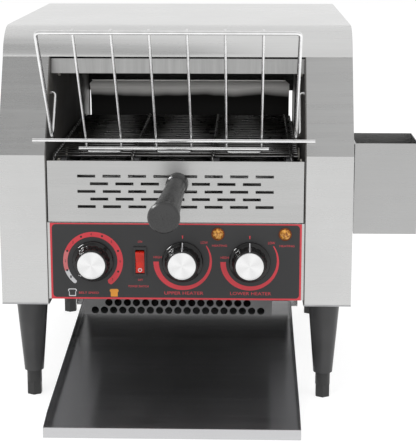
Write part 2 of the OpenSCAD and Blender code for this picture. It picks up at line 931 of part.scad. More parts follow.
// The cross rods are welded under the frame, and the slats over both
rod_drop = rack_wire_d + weld;
slat_lift = (rack_wire_d + slat_d) / 2 + weld;
rack_top = [-rack_front, rack_top_z];
stub_rod = [stub_rod_y, stub_z];
rack_l = norm(stub_rod - rack_top);
rack_foot = beside(stub_rod, rack_top, 0, -rod_drop);
slat_over = 0.5;
slat_top = beside(rack_top, rack_foot, -slat_over, slat_lift);
slat_knee = beside(rack_top, stub_rod, rack_l + slat_bend + slat_over, slat_lift);
slat_foot = [stub_rod_y + 12, belt_top_z + slip + slat_d];
low_rod = beside(slat_knee, slat_foot, slat_bend + 3, -slat_lift);
low_rod_half_w = 2.5 * slat_pitch + 7.5;
stub_half_w = rack_half_w + 20;
hook_x = inner_x - wall_room;
hook_end_x = inner_x - 2;
pin_reach = 2;

// One half of the frame's path, from the top rod to the pivot in the wall
function rack_half(side) =
    let (side_x = side * rack_half_w + rack_shift, foot = beside(rack_top, rack_foot, rack_l + 1, 0))
    [
        [side_x, rack_top[0], rack_top[1]],
        [side_x, foot[0], foot[1]],
        [side * hook_x, foot[0] + 10, foot[1] + 3],
        [side * hook_x, pivot_y, pivot_z],
        [side * hook_end_x, pivot_y, pivot_z],
    ];

module cross_rod(point, reach) {
    rod_x(rack_shift - reach, rack_shift + reach, point[0], point[1], rack_wire_d / 2);
}

// Round-cornered frame, its two pins and its two cross rods
module rack_frame() {
    left = rack_half(-1);
    path = concat([for (i = [4 : -1 : 0]) left[i]], rack_half(1));
    color("silver") {
        wire(bent(path, rack_bend), [0, 0.3, 1], rack_wire_d);
        for (side = [-1, 1]) {
            on_side(side) rod_x(
                hook_end_x + weld, outer_wall_x + pin_reach,
                pivot_y, pivot_z, rack_pin_d / 2
            );
        }
        cross_rod(stub_rod, stub_half_w);
        cross_rod(low_rod, low_rod_half_w);
    }
}

// Three bent wires, each with two slats joined by a foot over the belt
module rack_slats() {
    color("silver") for (pair = [-1 : 1]) {
        x0 = (2 * pair - 0.5) * slat_pitch + rack_shift;
        x1 = (2 * pair + 0.5) * slat_pitch + rack_shift;
        wire(bent([
            [x0, slat_top[0], slat_top[1]],
            [x0, slat_knee[0], slat_knee[1]],
            [x0, slat_foot[0], slat_foot[1]],
            [x1, slat_foot[0], slat_foot[1]],
            [x1, slat_knee[0], slat_knee[1]],
            [x1, slat_top[0], slat_top[1]],
        ], slat_bend), [0, 0.5, 1], slat_d);
    }
}

// ---- Belt and drive ----

belt_run = rear_shaft_y - front_shaft_y;
belt_l = 2 * belt_run + 2 * PI * rod_ring_r;
rod_count = round(belt_l / belt_pitch);

// Centre of a belt wire, as a distance along the loop
function belt_point(s) =
    let (turn_l = PI * rod_ring_r)
    s < belt_run ? [front_shaft_y + s, shaft_z + rod_ring_r] :
    s < belt_run + turn_l ?
        let (a = 90 - (s - belt_run) / rod_ring_r * 180 / PI)
        [rear_shaft_y + rod_ring_r * cos(a), shaft_z + rod_ring_r * sin(a)] :
    s < 2 * belt_run + turn_l ? [rear_shaft_y - (s - belt_run - turn_l), shaft_z - rod_ring_r] :
        let (a = 270 - (s - 2 * belt_run - turn_l) / rod_ring_r * 180 / PI)
        [front_shaft_y + rod_ring_r * cos(a), shaft_z + rod_ring_r * sin(a)];

// Solid band as wide as twice reach, with its edge at the given radius
module belt_band(x, r, reach) {
    loop_x(front_shaft_y, shaft_z, rear_shaft_y, shaft_z, r, x - reach, x + reach);
}

// Half the width and the thickness of a row of links
link_half_w = 1;
link_half_t = 1;

module conveyor_belt() {
    edge_x = belt_w / 2 - 3;
    link_xs = [-edge_x, -inner_wheel_x, inner_wheel_x, edge_x];
    color("silver") {
        for (i = [0 : rod_count - 1]) {
            p = belt_point((i + 0.5) * belt_l / rod_count);
            rod_x(-belt_w / 2, belt_w / 2, p[0], p[1], belt_wire_d / 2);
        }
        for (x = link_xs) {
            difference() {
                belt_band(x, rod_ring_r + link_half_t, link_half_w);
                belt_band(x, rod_ring_r - link_half_t, link_half_w + cut);
            }
        }
    }
}

shaft_end_x = outer_wall_x + 8;
drive_end_x = chain_x + 10;

module front_shaft() {
    color("darkgray") rod_x(-shaft_end_x, shaft_end_x, front_shaft_y, shaft_z, shaft_d / 2);
}

module rear_shaft() {
    color("darkgray") rod_x(-shaft_end_x, drive_end_x, rear_shaft_y, shaft_z, shaft_d / 2);
}

module belt_wheels(y) {
    color("dimgray") for (x = wheel_xs) {
        difference() {
            rod_x(x - wheel_t / 2, x + wheel_t / 2, y, shaft_z, wheel_r);
            rod_x(x - wheel_t, x + wheel_t, y, shaft_z, shaft_d / 2);
        }
    }
}

module front_belt_wheels() {
    belt_wheels(front_shaft_y);
}

module rear_belt_wheels() {
    belt_wheels(rear_shaft_y);
}

module shaft_bearings() {
    color("goldenrod") for (side = [-1, 1], y = [front_shaft_y, rear_shaft_y]) {
        on_side(side) wall_ring(y, shaft_z, bearing_r, bearing_flange_r, shaft_d / 2 + running_fit);
    }
}

sprocket_t = 3;
tooth_h = 3;
hub_l = 5;

// Toothed disc with a hub on its inner side
module sprocket(y, z) {
    rim = [for (i = [0 : 2 * teeth - 1])
        let (r = i % 2 == 0 ? sprocket_r : sprocket_r - tooth_h, a = 180 * i / teeth)
        [y + r * cos(a), z + r * sin(a)]];
    profile_x(rim, chain_x, chain_x + sprocket_t);
    rod_x(chain_x - hub_l, chain_x, y, z, sprocket_r - 2 * tooth_h);
}

module driven_sprocket() {
    color("darkgray") difference() {
        sprocket(rear_shaft_y, shaft_z);
        rod_x(
            chain_x - hub_l - cut, chain_x + sprocket_t + cut,
            rear_shaft_y, shaft_z, shaft_d / 2
        );
    }
}

gearbox_end_x = inner_x - 2;
gearbox_start_x = gearbox_end_x - 46;
gearbox_half = 25;
motor_l = 55;
motor_r = 24;
motor_foot_half = 20;
motor_shaft_grip = 20;

module motor_sprocket() {
    color("darkgray") {
        sprocket(motor_y, motor_z);
        rod_x(
            gearbox_end_x - motor_shaft_grip, chain_x + 2 * sprocket_t,
            motor_y, motor_z, motor_shaft_d / 2
        );
    }
}

// Solid band round both sprockets
module chain_band(r, x0, x1) {
    loop_x(motor_y, motor_z, rear_shaft_y, shaft_z, r, x0, x1);
}

// Chain as one closed band
module drive_chain() {
    x0 = chain_x - chain_lap;
    x1 = chain_x + sprocket_t + chain_lap;
    color("dimgray") difference() {
        chain_band(chain_in_r + chain_t, x0, x1);
        chain_band(chain_in_r, x0 - cut, x1 + cut);
    }
}

// Motor, gearbox and the foot that carries them on the base plate
module gear_motor() {
    color("slategray") difference() {
        union() {
            block(
                [gearbox_start_x, motor_y - gearbox_half, motor_z - gearbox_half],
                [gearbox_end_x, motor_y + gearbox_half, motor_z + gearbox_half]
            );
            rod_x(gearbox_start_x - motor_l, gearbox_start_x, motor_y, motor_z, motor_r);
            block(
                [gearbox_start_x, motor_y - motor_foot_half, floor_z],
                [gearbox_end_x, motor_y + motor_foot_half, motor_z - motor_foot_half]
            );
        }
        rod_x(
            gearbox_end_x - motor_shaft_grip - cut, gearbox_end_x + cut,
            motor_y, motor_z, motor_shaft_d / 2 + running_fit
        );
    }
}

// ---- Fan ----

fan_hub_r = 14;
fan_bore_r = fan_w / 2 - 2;
fan_hub_t = 5;
fan_pin_r = 2;
strut_half_w = 2;
strut_t = 3;
blade_half_w = 9;
blade_t = 1.5;
blade_pitch = 35;

module fan_frame() {
    color("black") translate([fan_x, fan_y, floor_z]) {
        difference() {
            block([-fan_w / 2, -fan_w / 2, 0], [fan_w / 2, fan_w / 2, fan_t]);
            translate([0, 0, -cut]) cylinder(r = fan_bore_r, h = fan_t + 2 * cut);
        }
        difference() {
            union() {
                cylinder(r = fan_hub_r, h = fan_hub_t);
                for (a = [45, 135]) {
                    rotate([0, 0, a]) block(
                        [-fan_bore_r - cut, -strut_half_w, 0],
                        [fan_bore_r + cut, strut_half_w, strut_t]
                    );
                }
            }
            translate([0, 0, -cut]) cylinder(r = fan_pin_r + running_fit, h = fan_hub_t + 2 * cut);
        }
    }
}

module fan_impeller() {
    hub_z = fan_hub_t + slip;
    hub_h = fan_t - fan_hub_t - 4;
    color("gray") translate([fan_x, fan_y, floor_z]) {
        translate([0, 0, hub_z]) cylinder(r = fan_hub_r, h = hub_h);
        translate([0, 0, cut]) cylinder(r = fan_pin_r, h = hub_z);
        for (i = [0 : blades - 1]) {
            rotate([0, 0, 360 * i / blades]) translate([fan_hub_r - cut, 0, hub_z + hub_h / 2])
                rotate([blade_pitch, 0, 0]) block(
                    [0, -blade_half_w, -blade_t / 2],
                    [fan_bore_r - fan_hub_r - cut, blade_half_w, blade_t / 2]
                );
        }
    }
}

// ---- Controls ----

bezel_y = -overlay_t - 2;
switch_rear_y = 22;
rocker_room_y = 14;
rocker_pin_r = 1.5;
rocker_pin_x = rocker_w / 2 + 1.5;

// Bezel and body with the room for the rocker and its pins
module switch_housing() {
    half_x = switch_w / 2;
    half_z = switch_h / 2;
    room_z = rocker_h / 2 + 1;
    color("black") translate([switch_x, 0, knob_z]) difference() {
        union() {
            block([-half_x, bezel_y, -half_z], [half_x, -overlay_t, half_z]);
            block(
                [-half_x + bezel_lap, -overlay_t, -half_z + bezel_lap],
                [half_x - bezel_lap, switch_rear_y, half_z - bezel_lap]
            );
        }
        block(
            [-rocker_w / 2 - slip, bezel_y - cut, -room_z],
            [rocker_w / 2 + slip, rocker_room_y, room_z]
        );
        rod_x(
            -rocker_pin_x - running_fit, rocker_pin_x + running_fit,
            rocker_pivot_y, 0, rocker_pin_r + running_fit
        );
    }
}

// Rocker with two faces that meet at its middle, tilted to its lower stop
module switch_rocker() {
    end_z = rocker_h / 2 - 0.5;
    face_y = -5;
    end_y = face_y - end_z * tan(rocker_throw / 2);
    heel = 4;
    color("red") translate([switch_x, rocker_pivot_y, knob_z]) rotate([rocker_throw / 2, 0, 0]) {
        profile_x([
            [face_y, 0],
            [end_y, end_z],
            [0, end_z],
            [heel, heel],
            [heel, -heel],
            [0, -end_z],
            [end_y, -end_z],
        ], -rocker_w / 2, rocker_w / 2);
        rod_x(-rocker_pin_x, rocker_pin_x, 0, 0, rocker_pin_r);
    }
}

knob_back_y = -overlay_t - slip;
knob_front_y = knob_back_y - knob_h;
knob_bore_y = knob_front_y + 3;
cap_t = 1.2;
cap_sink = 0.5;

// Skirted knob with a bore for its spindle and a seat for its cap
module knob(x) {
    color("black") difference() {
        turned_front(x, knob_back_y, knob_z, [
            [0, 0],
            [knob_r, 0],
            [knob_r, 2.5],
            [knob_r - 1.2, 3.5],
            [cap_r + 3.2, 4.5],
            [cap_r + 2, knob_h - 1.5],
            [cap_r + 1, knob_h - cap_sink],
            [0, knob_h - cap_sink],
        ]);
        rod_y(x, knob_bore_y, knob_back_y + cut, knob_z, spindle_d / 2);
        rod_y(x, knob_front_y - cut, knob_front_y + cap_t, knob_z, cap_r);
    }
}

module knob_cap(x) {
    color("white") rod_y(x, knob_front_y, knob_front_y + cap_t, knob_z, cap_r);
}

module spindle(x) {
    color("goldenrod") rod_y(x, knob_bore_y, spindle_end_y, knob_z, spindle_d / 2);
}

module speed_knob() {
    knob(speed_x);
}

module speed_knob_cap() {
    knob_cap(speed_x);
}

module speed_spindle() {
    spindle(speed_x);
}

module upper_heat_knob() {
    knob(upper_heat_x);
}

module upper_heat_knob_cap() {
    knob_cap(upper_heat_x);
}

module upper_heat_spindle() {
    spindle(upper_heat_x);
}

module lower_heat_knob() {
    knob(lower_heat_x);
}

module lower_heat_knob_cap() {
    knob_cap(lower_heat_x);
}

module lower_heat_spindle() {
    spindle(lower_heat_x);
}

neck_wall = 3;
speed_control_r = 12;
speed_control_d = 16;
regulator_half = 18;
regulator_d = 30;

// Neck of a control, from the panel's back to the control's body
module control_neck(x) {
    rod_y(x, sheet, control_front_y, knob_z, spindle_d / 2 + neck_wall);
}

module control_bore(x) {
    rod_y(x, sheet - cut, spindle_end_y + cut, knob_z, spindle_d / 2 + running_fit);
}

module speed_control() {
    color("steelblue") difference() {
        union() {
            control_neck(speed_x);
            rod_y(speed_x, control_front_y, control_front_y + speed_control_d, knob_z, speed_control_r);
        }
        control_bore(speed_x);
    }
}

module heat_regulators() {
    color("dimgray") for (x = [upper_heat_x, lower_heat_x]) {
        difference() {
            union() {
                control_neck(x);
                block(
                    [x - regulator_half, control_front_y, knob_z - regulator_half],
                    [x + regulator_half, control_front_y + regulator_d, knob_z + regulator_half]
                );
            }
            control_bore(x);
        }
    }
}

lamp_barrel_r = lamp_r - 1.3;
lamp_barrel_l = 16;
lamp_rim_t = 1.2;
lens_r = lamp_r - 0.8;
lens_h = 3.5;

// Domed lens with a rim and a barrel through the panel
module indicator_lamps() {
    color("orange") for (x = lamp_xs) {
        turned_front(x, -overlay_t, lamp_z, concat(
            [
                [0, -lamp_barrel_l],
                [lamp_barrel_r, -lamp_barrel_l],
                [lamp_barrel_r, 0],
                [lamp_r, 0],
                [lamp_r, lamp_rim_t],
            ],
            [for (a = [15 : 15 : 90]) [lens_r * cos(a), lamp_rim_t + lens_h * sin(a)]]
        ));
    }
}

// ---- Legs and feet ----

leg_screw_r = 3;
leg_hole_r = leg_screw_r + 0.2;
leg_collar_h = 3.5;
leg_collar_d = leg_top_d + 1.6;
leg_screw_l = 8;
leg_bore_h = 34;
foot_hex_share = 0.52;
foot_hex_d = foot_d + 1;

module legs() {
    color("dimgray") for (x = leg_xs, y = leg_ys) {
        translate([x, y, 0]) difference() {
            union() {
                translate([0, 0, foot_h])
                    cylinder(d1 = leg_low_d, d2 = leg_top_d, h = leg_h - leg_collar_h - foot_h);
                translate([0, 0, leg_h - leg_collar_h]) cylinder(d = leg_collar_d, h = leg_collar_h);
                translate([0, 0, leg_h - cut]) cylinder(r = leg_screw_r, h = leg_screw_l + cut);
            }
            translate([0, 0, foot_h - cut]) cylinder(r = stud_d / 2 + running_fit, h = leg_bore_h + cut);
        }
    }
}

// Hexagonal pad, round sleeve and the stud that turns in the leg
module levelling_foot(x, y) {
    hex_h = foot_h * foot_hex_share;
    sleeve_h = foot_h - slip - hex_h;
    color("black") translate([x, y, 0]) {
        rotate([0, 0, 30]) cylinder(d = foot_hex_d, h = hex_h, $fn = 6);
        translate([0, 0, hex_h - cut]) cylinder(d = foot_d, h = sleeve_h + cut);
        translate([0, 0, hex_h]) cylinder(d = stud_d, h = foot_h - hex_h + leg_bore_h - 2 * cut);
    }
}

module front_left_foot() {
    levelling_foot(leg_xs[0], leg_ys[0]);
}

module front_right_foot() {
    levelling_foot(leg_xs[1], leg_ys[0]);
}

module rear_left_foot() {
    levelling_foot(leg_xs[0], leg_ys[1]);
}

module rear_right_foot() {
    levelling_foot(leg_xs[1], leg_ys[1]);
}

// ---- Side bin ----

bin_top_z = bin_z + bin_h;
bin_rear_y = bin_y + bin_d;
lip_low_z = bracket_screw_z + 10;
lip_top_z = bin_top_z - bin_sheet - slip;
lip_x = half_w + bracket_t + bin_sheet + 2 * slip;
bracket_margin = 5;
bracket_drop = 12;

// Plate with an upturned lip that the bin's hem hangs over
module bin_bracket() {
    y0 = bin_y + bracket_margin;
    y1 = bin_rear_y - bracket_margin;
    end_x = lip_x + bin_sheet;
    color("silver") difference() {
        union() {
            block(
                [half_w, y0, bracket_screw_z - bracket_drop],
                [half_w + bracket_t, y1, lip_top_z - bracket_t]
            );
            block([half_w, y0, lip_low_z], [end_x, y1, lip_low_z + sheet]);
            block([lip_x, y0, lip_low_z], [end_x, y1, lip_top_z]);
        }
        for (y = bracket_screw_ys) {
            rod_x(half_w - cut, half_w + bracket_t + cut, y, bracket_screw_z, screw_hole_r);
        }
    }
}

// Open-topped bin with a hem on the side next to the body
module side_bin() {
    end_x = bin_x + bin_w;
    hem_x = half_w + bracket_t + slip;
    hem_low_z = lip_low_z + sheet + slip;
    color("gainsboro") {
        difference() {
            block([bin_x, bin_y, bin_z], [end_x, bin_rear_y, bin_top_z]);
            block(
                [bin_x + bin_sheet, bin_y + bin_sheet, bin_z + bin_sheet],
                [end_x - bin_sheet, bin_rear_y - bin_sheet, bin_top_z + cut]
            );
        }
        block([hem_x, bin_y, bin_top_z - bin_sheet], [bin_x + bin_sheet, bin_rear_y, bin_top_z]);
        block([hem_x, bin_y, hem_low_z], [hem_x + bin_sheet, bin_rear_y, bin_top_z]);
    }
}

// ---- Rear fittings and screws ----

gland_x = half_w - 26;
gland_z = floor_z + 60;
gland_r = 7;
gland_hole_r = gland_r + 0.2;
gland_bore_r = 3.5;
gland_flange_r = gland_r + 4;
gland_flange_t = 4;
gland_nut_r = gland_r + 3;
gland_nut_t = 4;

module cable_gland() {
    nut_y = cover_d - sheet - gland_nut_t;
    color("black") difference() {
        union() {
            rod_y(-gland_x, cover_d - sheet, body_d + gland_l, gland_z, gland_r);
            rod_y(-gland_x, body_d, body_d + gland_flange_t, gland_z, gland_flange_r);
            rod_y(-gland_x, nut_y, nut_y + gland_nut_t, gland_z, gland_nut_r);
        }
        rod_y(-gland_x, nut_y - cut, body_d + gland_l + cut, gland_z, gland_bore_r);
    }
}

// Low round head with a cross recess, and its shank
module pan_screw() {
    difference() {
        union() {
            cylinder(r = screw_head_r, h = screw_edge_h);
            translate([0, 0, screw_edge_h])
                cylinder(r1 = screw_head_r, r2 = screw_head_r - screw_edge_h, h = screw_dome_h);
            translate([0, 0, -screw_l]) cylinder(r = screw_shank_r, h = screw_l + cut);
        }
        for (a = [0, 90]) {
            rotate([0, 0, a]) block(
                [-screw_slot_l / 2, -screw_slot_t / 2, screw_edge_h],
                [screw_slot_l / 2, screw_slot_t / 2, screw_edge_h + screw_dome_h + cut]
            );
        }
    }
}

module cover_screws() {
    color("silver") {
        for (side = [-1, 1], z = rear_screw_zs) {
            translate([side * rear_screw_x, body_d, z]) rotate([-90, 0, 0]) pan_screw();
        }
        for (y = bracket_screw_ys) {
            translate([half_w + bracket_t, y, bracket_screw_z]) rotate([0, 90, 0]) pan_screw();
        }
    }
}

place() left_side_cover();
place() right_side_cover();
place() left_inner_wall();
place() right_inner_wall();
place() roof_cover();
place() rear_panel();
place() base_plate();
place() compartment_cover();
place() control_panel();
place() panel_overlay();
place() header_panel();
place() upper_reflector();
place() rear_deflector();
place() toast_chute();
place() upper_heaters();
place() lower_heaters();
place() heater_bushes();
place() air_intake_guard();
place() tray_rails();
place() drawer_front();
place() crumb_pan();
place() drawer_handle();
place() toast_tray();
place() rack_frame();
place() rack_slats();
place() conveyor_belt();
place() front_shaft();
place() front_belt_wheels();
place() rear_shaft();
place() rear_belt_wheels();
place() shaft_bearings();
place() drive_chain();
place() driven_sprocket();
place() motor_sprocket();
place() gear_motor();
place() fan_frame();
place() fan_impeller();
place() switch_housing();
place() switch_rocker();
place() speed_knob();
place() speed_knob_cap();
place() speed_spindle();
place() upper_heat_knob();
place() upper_heat_knob_cap();
place() upper_heat_spindle();
place() lower_heat_knob();
place() lower_heat_knob_cap();
place() lower_heat_spindle();
place() speed_control();
place() heat_regulators();
place() indicator_lamps();
place() legs();
place() front_left_foot();
place() front_right_foot();
place() rear_left_foot();
place() rear_right_foot();
place() side_bin();
place() bin_bracket();
place() cable_gland();
place() cover_screws();
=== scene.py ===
import json
import math

import bmesh
import bpy
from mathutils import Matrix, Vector

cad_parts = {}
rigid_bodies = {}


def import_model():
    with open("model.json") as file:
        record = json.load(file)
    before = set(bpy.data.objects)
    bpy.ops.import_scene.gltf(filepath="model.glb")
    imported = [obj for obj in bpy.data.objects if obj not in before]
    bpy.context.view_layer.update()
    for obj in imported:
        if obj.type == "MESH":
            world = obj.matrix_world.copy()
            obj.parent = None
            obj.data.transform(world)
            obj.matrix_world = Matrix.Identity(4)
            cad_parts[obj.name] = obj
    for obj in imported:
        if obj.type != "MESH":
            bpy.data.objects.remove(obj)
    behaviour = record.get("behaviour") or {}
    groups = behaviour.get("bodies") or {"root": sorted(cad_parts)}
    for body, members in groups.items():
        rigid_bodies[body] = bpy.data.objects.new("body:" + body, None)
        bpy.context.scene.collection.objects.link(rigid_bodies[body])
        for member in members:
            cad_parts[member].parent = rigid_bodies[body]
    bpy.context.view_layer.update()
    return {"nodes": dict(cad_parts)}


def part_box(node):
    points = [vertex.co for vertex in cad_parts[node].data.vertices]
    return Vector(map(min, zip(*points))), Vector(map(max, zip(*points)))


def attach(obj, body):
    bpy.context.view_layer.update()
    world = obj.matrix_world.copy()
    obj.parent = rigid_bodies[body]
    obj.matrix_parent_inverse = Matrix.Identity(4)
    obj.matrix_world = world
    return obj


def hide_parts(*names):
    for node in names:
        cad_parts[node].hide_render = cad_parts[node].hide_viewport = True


bl_info = {
    "name": "Conveyor toaster",
    "version": (1, 0, 0),
    "blender": (4, 5, 0),
    "location": "View3D > Sidebar > Toaster",
    "description": "Finishes and detailed pieces of a counter-top conveyor toaster around its packed model",
    "category": "Object",
}

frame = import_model()

# ---- Places ----
# Sizes are worked out in millimetres from the middle of the control panel's front face at counter level.

MM = 0.001
PANEL_LOW, PANEL_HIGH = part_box("control_panel")
MIDDLE_X = (PANEL_LOW.x + PANEL_HIGH.x) / 2
FRONT_Y = PANEL_LOW.y


def at(x, y, z):
    """A place on the toaster, in millimetres from the panel's middle, as frame metres."""
    return Vector((MIDDLE_X + x * MM, FRONT_Y + y * MM, z * MM))


# ---- Sizes and colours that a user would change ----


def length(name, about, mm):
    return bpy.props.FloatProperty(
        name=name, description=about, default=mm * MM, unit="LENGTH", precision=5
    )


def tone(name, about, rgb):
    return bpy.props.FloatVectorProperty(
        name=name, description=about, default=rgb, subtype="COLOR", size=3, min=0.0, max=1.0
    )


def share(name, about, value):
    return bpy.props.FloatProperty(
        name=name, description=about, default=value, subtype="FACTOR", min=0.0, max=1.0
    )


class ToasterSizes(bpy.types.PropertyGroup):
    """Sizes of the detailed pieces"""

    belt_wire: length("Belt wire", "Diameter of the wires of the belt", 1.9)
    link_reach: length("Link reach", "How far a belt link reaches past the next wire", 2.4)
    rack_wire: length("Rack wire", "Diameter of the feed rack's frame wire", 4.0)
    slat_wire: length("Slat wire", "Diameter of the feed rack's slats", 2.8)
    knob_radius: length("Knob radius", "Radius of the knob's skirt", 21.5)
    flute_depth: length("Flute depth", "Depth of the flutes round a knob's grip", 1.1)
    cap_radius: length("Cap radius", "Radius of the metal cap on a knob", 14.5)
    lamp_radius: length("Lamp radius", "Radius of an indicator lamp's rim", 6.8)
    print_rise: length("Print rise", "How far the print stands on the overlay", 0.06)
    dial_radius: length("Dial radius", "Outer radius of the speed scale", 31.5)
    heat_radius: length("Heat scale radius", "Outer radius of a heat scale", 30.7)
    edge_round: length("Edge round", "Rounding of the cut edges of the sheet metal", 0.25)


class ToasterColours(bpy.types.PropertyGroup):
    """Colours of the finishes"""

    steel: tone("Steel", "Brushed stainless sheet", (0.605, 0.605, 0.60))
    drawer: tone("Drawer steel", "Brushed sheet of the crumb drawer's front", (0.52, 0.52, 0.515))
    bin: tone("Bin steel", "Brushed sheet of the side bin", (0.45, 0.45, 0.447))
    # The roof's steel is lighter than the rest of the steel: painted light on the roof's upward faces
    roof: tone("Roof steel", "Brushed stainless sheet of the roof", (0.78, 0.78, 0.775))
    oven: tone("Oven steel", "Heat-tinted sheet inside the oven", (0.15, 0.147, 0.143))
    tray: tone("Tray steel", "Polished sheet of the toast tray", (0.58, 0.58, 0.59))
    guard: tone("Guard paint", "Paint of the perforated guard", (0.17, 0.17, 0.172))
    wire: tone("Rack wire", "Polished wire of the feed rack", (0.92, 0.92, 0.92))
    belt: tone("Belt wire", "Heat-greyed wire of the belt", (0.42, 0.415, 0.41))
    overlay: tone("Overlay", "Satin film on the control panel", (0.026, 0.026, 0.027))
    print_red: tone("Red print", "Scales, border and words", (0.72, 0.050, 0.068))
    print_pink: tone("Pink print", "Middle part of the speed scale", (0.72, 0.19, 0.20))
    print_white: tone("White print", "Start of the speed scale", (0.72, 0.72, 0.74))
    print_orange: tone("Orange print", "Toasted slice", (0.90, 0.36, 0.04))
    print_dark: tone("Dark print", "Marks on the speed scale", (0.02, 0.012, 0.012))
    knob: tone("Knob", "Glossy moulded knobs", (0.012, 0.012, 0.012))
    cap: tone("Knob cap", "Turned metal caps", (0.82, 0.82, 0.82))
    lens: tone("Lamp lens", "Orange lens", (0.80, 0.22, 0.018))
    rocker: tone("Rocker", "Translucent red rocker", (0.60, 0.020, 0.008))
    handle: tone("Handle", "Moulded handle", (0.036, 0.036, 0.036))
    leg: tone("Legs", "Satin dark legs", (0.055, 0.055, 0.056))
    heater: tone("Heaters", "Heat-darkened tubes", (0.10, 0.075, 0.06))
    grime: share("Grime", "How far stains darken the inside of the oven", 0.35)


def sizes():
    return bpy.context.scene.toaster_sizes


def colours():
    return bpy.context.scene.toaster_colours


# ---- Finishes ----


class Nodes:
    """The shader nodes of a material or of the surroundings."""

    def __init__(self, owner):
        owner.use_nodes = True
        self.tree = owner.node_tree

    def put(self, value, into):
        """Joins an output to a socket, or sets a plain value on it."""
        if isinstance(value, bpy.types.NodeSocket):
            self.tree.links.new(value, into)
        else:
            into.default_value = (*value, 1.0) if into.type == "RGBA" else value

    def node(self, kind, feeds=None, **settings):
        """A new node with its settings, its sockets fed by name or number."""
        made = self.tree.nodes.new("ShaderNode" + kind)
        for key, value in settings.items():
            setattr(made, key, value)
        for socket, value in (feeds or {}).items():
            self.put(value, made.inputs[socket])
        return made

    def maths(self, kind, *values):
        return self.node("Math", dict(enumerate(values)), operation=kind).outputs[0]

    def spread(self, value, low, high, start=0.3, end=0.7):
        """The value from start to end, stretched to run from low to high."""
        feeds = {"Value": value, "From Min": start, "From Max": end, "To Min": low, "To Max": high}
        return self.node("MapRange", feeds).outputs["Result"]

    def mixed(self, factor, first, second):
        """Colour between two colours, or outputs, by a factor output."""
        return self.node("Mix", {"Factor": factor, 6: first, 7: second}, data_type="RGBA").outputs[2]

    def ramp(self, value, stops):
        """Grey level along (place, level) stops."""
        made = self.node("ValToRGB", {"Fac": value})
        made.color_ramp.interpolation = "EASE"
        while len(made.color_ramp.elements) < len(stops):
            made.color_ramp.elements.new(0.5)
        for element, (place, level) in zip(made.color_ramp.elements, stops):
            element.position = place
            element.color = (level, level, level, 1)
        return made.outputs["Color"]

    def seen_by(self, rays, shown, unseen):
        """Shader that only these kinds of ray see, and another for all the rest."""
        kinds = self.node("LightPath").outputs
        seen, *others = [kinds[f"Is {ray} Ray"] for ray in rays]
        for other in others:
            seen = self.maths("MAXIMUM", seen, other)
        return self.node("MixShader", {0: seen, 1: unseen, 2: shown}).outputs[0]


# How many times longer the grain's streaks are along each axis
LONGER = {"X": (60, 1, 1), "Y": (1, 60, 1), "Z": (1, 1, 60), "XY": (60, 60, 1)}
# Reflections are drawn out across the grain
ACROSS = {"X": (0.02, 0.30, 1.0), "Z": (1.0, 0.02, 0.0), "XY": (0.02, 0.30, 1.0)}
# Waves a metre, across the grain, of its fine and broad streaks
FINE, BROAD = 1500.0, 160.0


class Finish(Nodes):
    """A material made of one shader and the patterns that feed it."""

    def __init__(self, name, colour, metallic, roughness, **plain):
        self.material = bpy.data.materials.new(name)
        super().__init__(self.material)
        self.shader = self.tree.nodes["Principled BSDF"]
        self.colour = tuple(colour)
        self.material.diffuse_color = (*self.colour, 1.0)
        self.feed(Base_Color=self.colour, Metallic=metallic, Roughness=roughness, **plain)

    def feed(self, **values):
        """Sets the shader's own sockets, or joins outputs to them."""
        for socket, value in values.items():
            self.put(value, self.shader.inputs[socket.replace("_", " ")])

    def places(self):
        """Object places, in metres."""
        return self.node("TexCoord").outputs["Object"]

    def noise(self, stretch, detail=2.0, roughness=0.5, warp=0.0):
        """Noise of that many waves a metre, alike on all axes or one number for each."""
        stretch = stretch if isinstance(stretch, tuple) else (stretch,) * 3
        feeds = {
            "Vector": self.node("Mapping", {"Vector": self.places(), "Scale": stretch}).outputs["Vector"],
            "Scale": 1.0, "Detail": detail, "Roughness": roughness, "Distortion": warp,
        }
        return self.node("TexNoise", feeds).outputs["Fac"]

    def grain(self, along, fine, detail=3.0):
        return self.noise(tuple(fine / longer for longer in LONGER[along]), detail)

    def place_along(self, axis, wave):
        """Object place along one axis in metres, made uneven by a broad wave of that size."""
        parts = self.node("SeparateXYZ", {"Vector": self.places()})
        return self.maths("MULTIPLY_ADD", self.noise((14, 14, 0)), wave, parts.outputs[axis])

    def blend(self, a, b, share_b=0.5):
        """Number between two outputs."""
        return self.node("Mix", {"Factor": share_b, 2: a, 3: b}, data_type="FLOAT").outputs[0]

    def drift(self, value, low, high=1.0):
        """Colour that drifts between two shares of the finish's own."""
        return self.mixed(self.spread(value, 0, 1), self.darker(low), self.darker(high))

    def bumps(self, height, strength, deep):
        """Unevenness that many millimetres deep."""
        feeds = {"Height": height, "Strength": strength, "Distance": deep * MM}
        return self.node("Bump", feeds).outputs["Normal"]

    def darker(self, by):
        return tuple(c * by for c in self.colour)


def brushed(
    name, colour, roughness=0.27, along="X", streaks=0.10, drawn=0.75, metallic=1.0, shine=0.5, shade=None
):
    """Sheet with a brushed grain, soft broad streaks and faint finger marks.

    A painted shade is (axis, start, end, wave, share): only that share of the colour is left up to its
    start, and all of it from its end on.
    """
    made = Finish(name, colour, metallic, roughness, Anisotropic=drawn, Specular_IOR_Level=shine)
    grain = made.blend(made.grain(along, FINE), made.grain(along, BROAD), 0.55)
    marks = made.noise(14, detail=4.0, warp=0.6)
    tint = made.drift(grain, 1 - streaks, 1 + streaks / 2)
    if shade:
        axis, start, end, wave, share_left = shade
        unshaded = made.spread(made.place_along(axis, wave), 0, 1, start, end)
        tint = made.mixed(unshaded, made.darker(share_left), tint)
    made.feed(
        Base_Color=tint,
        Roughness=made.spread(made.blend(grain, marks, 0.4), roughness - 0.05, roughness + 0.08),
        Tangent=made.node("CombineXYZ", dict(enumerate(ACROSS[along]))).outputs["Vector"],
        Normal=made.bumps(grain, 0.10, 0.15),
    )
    return made


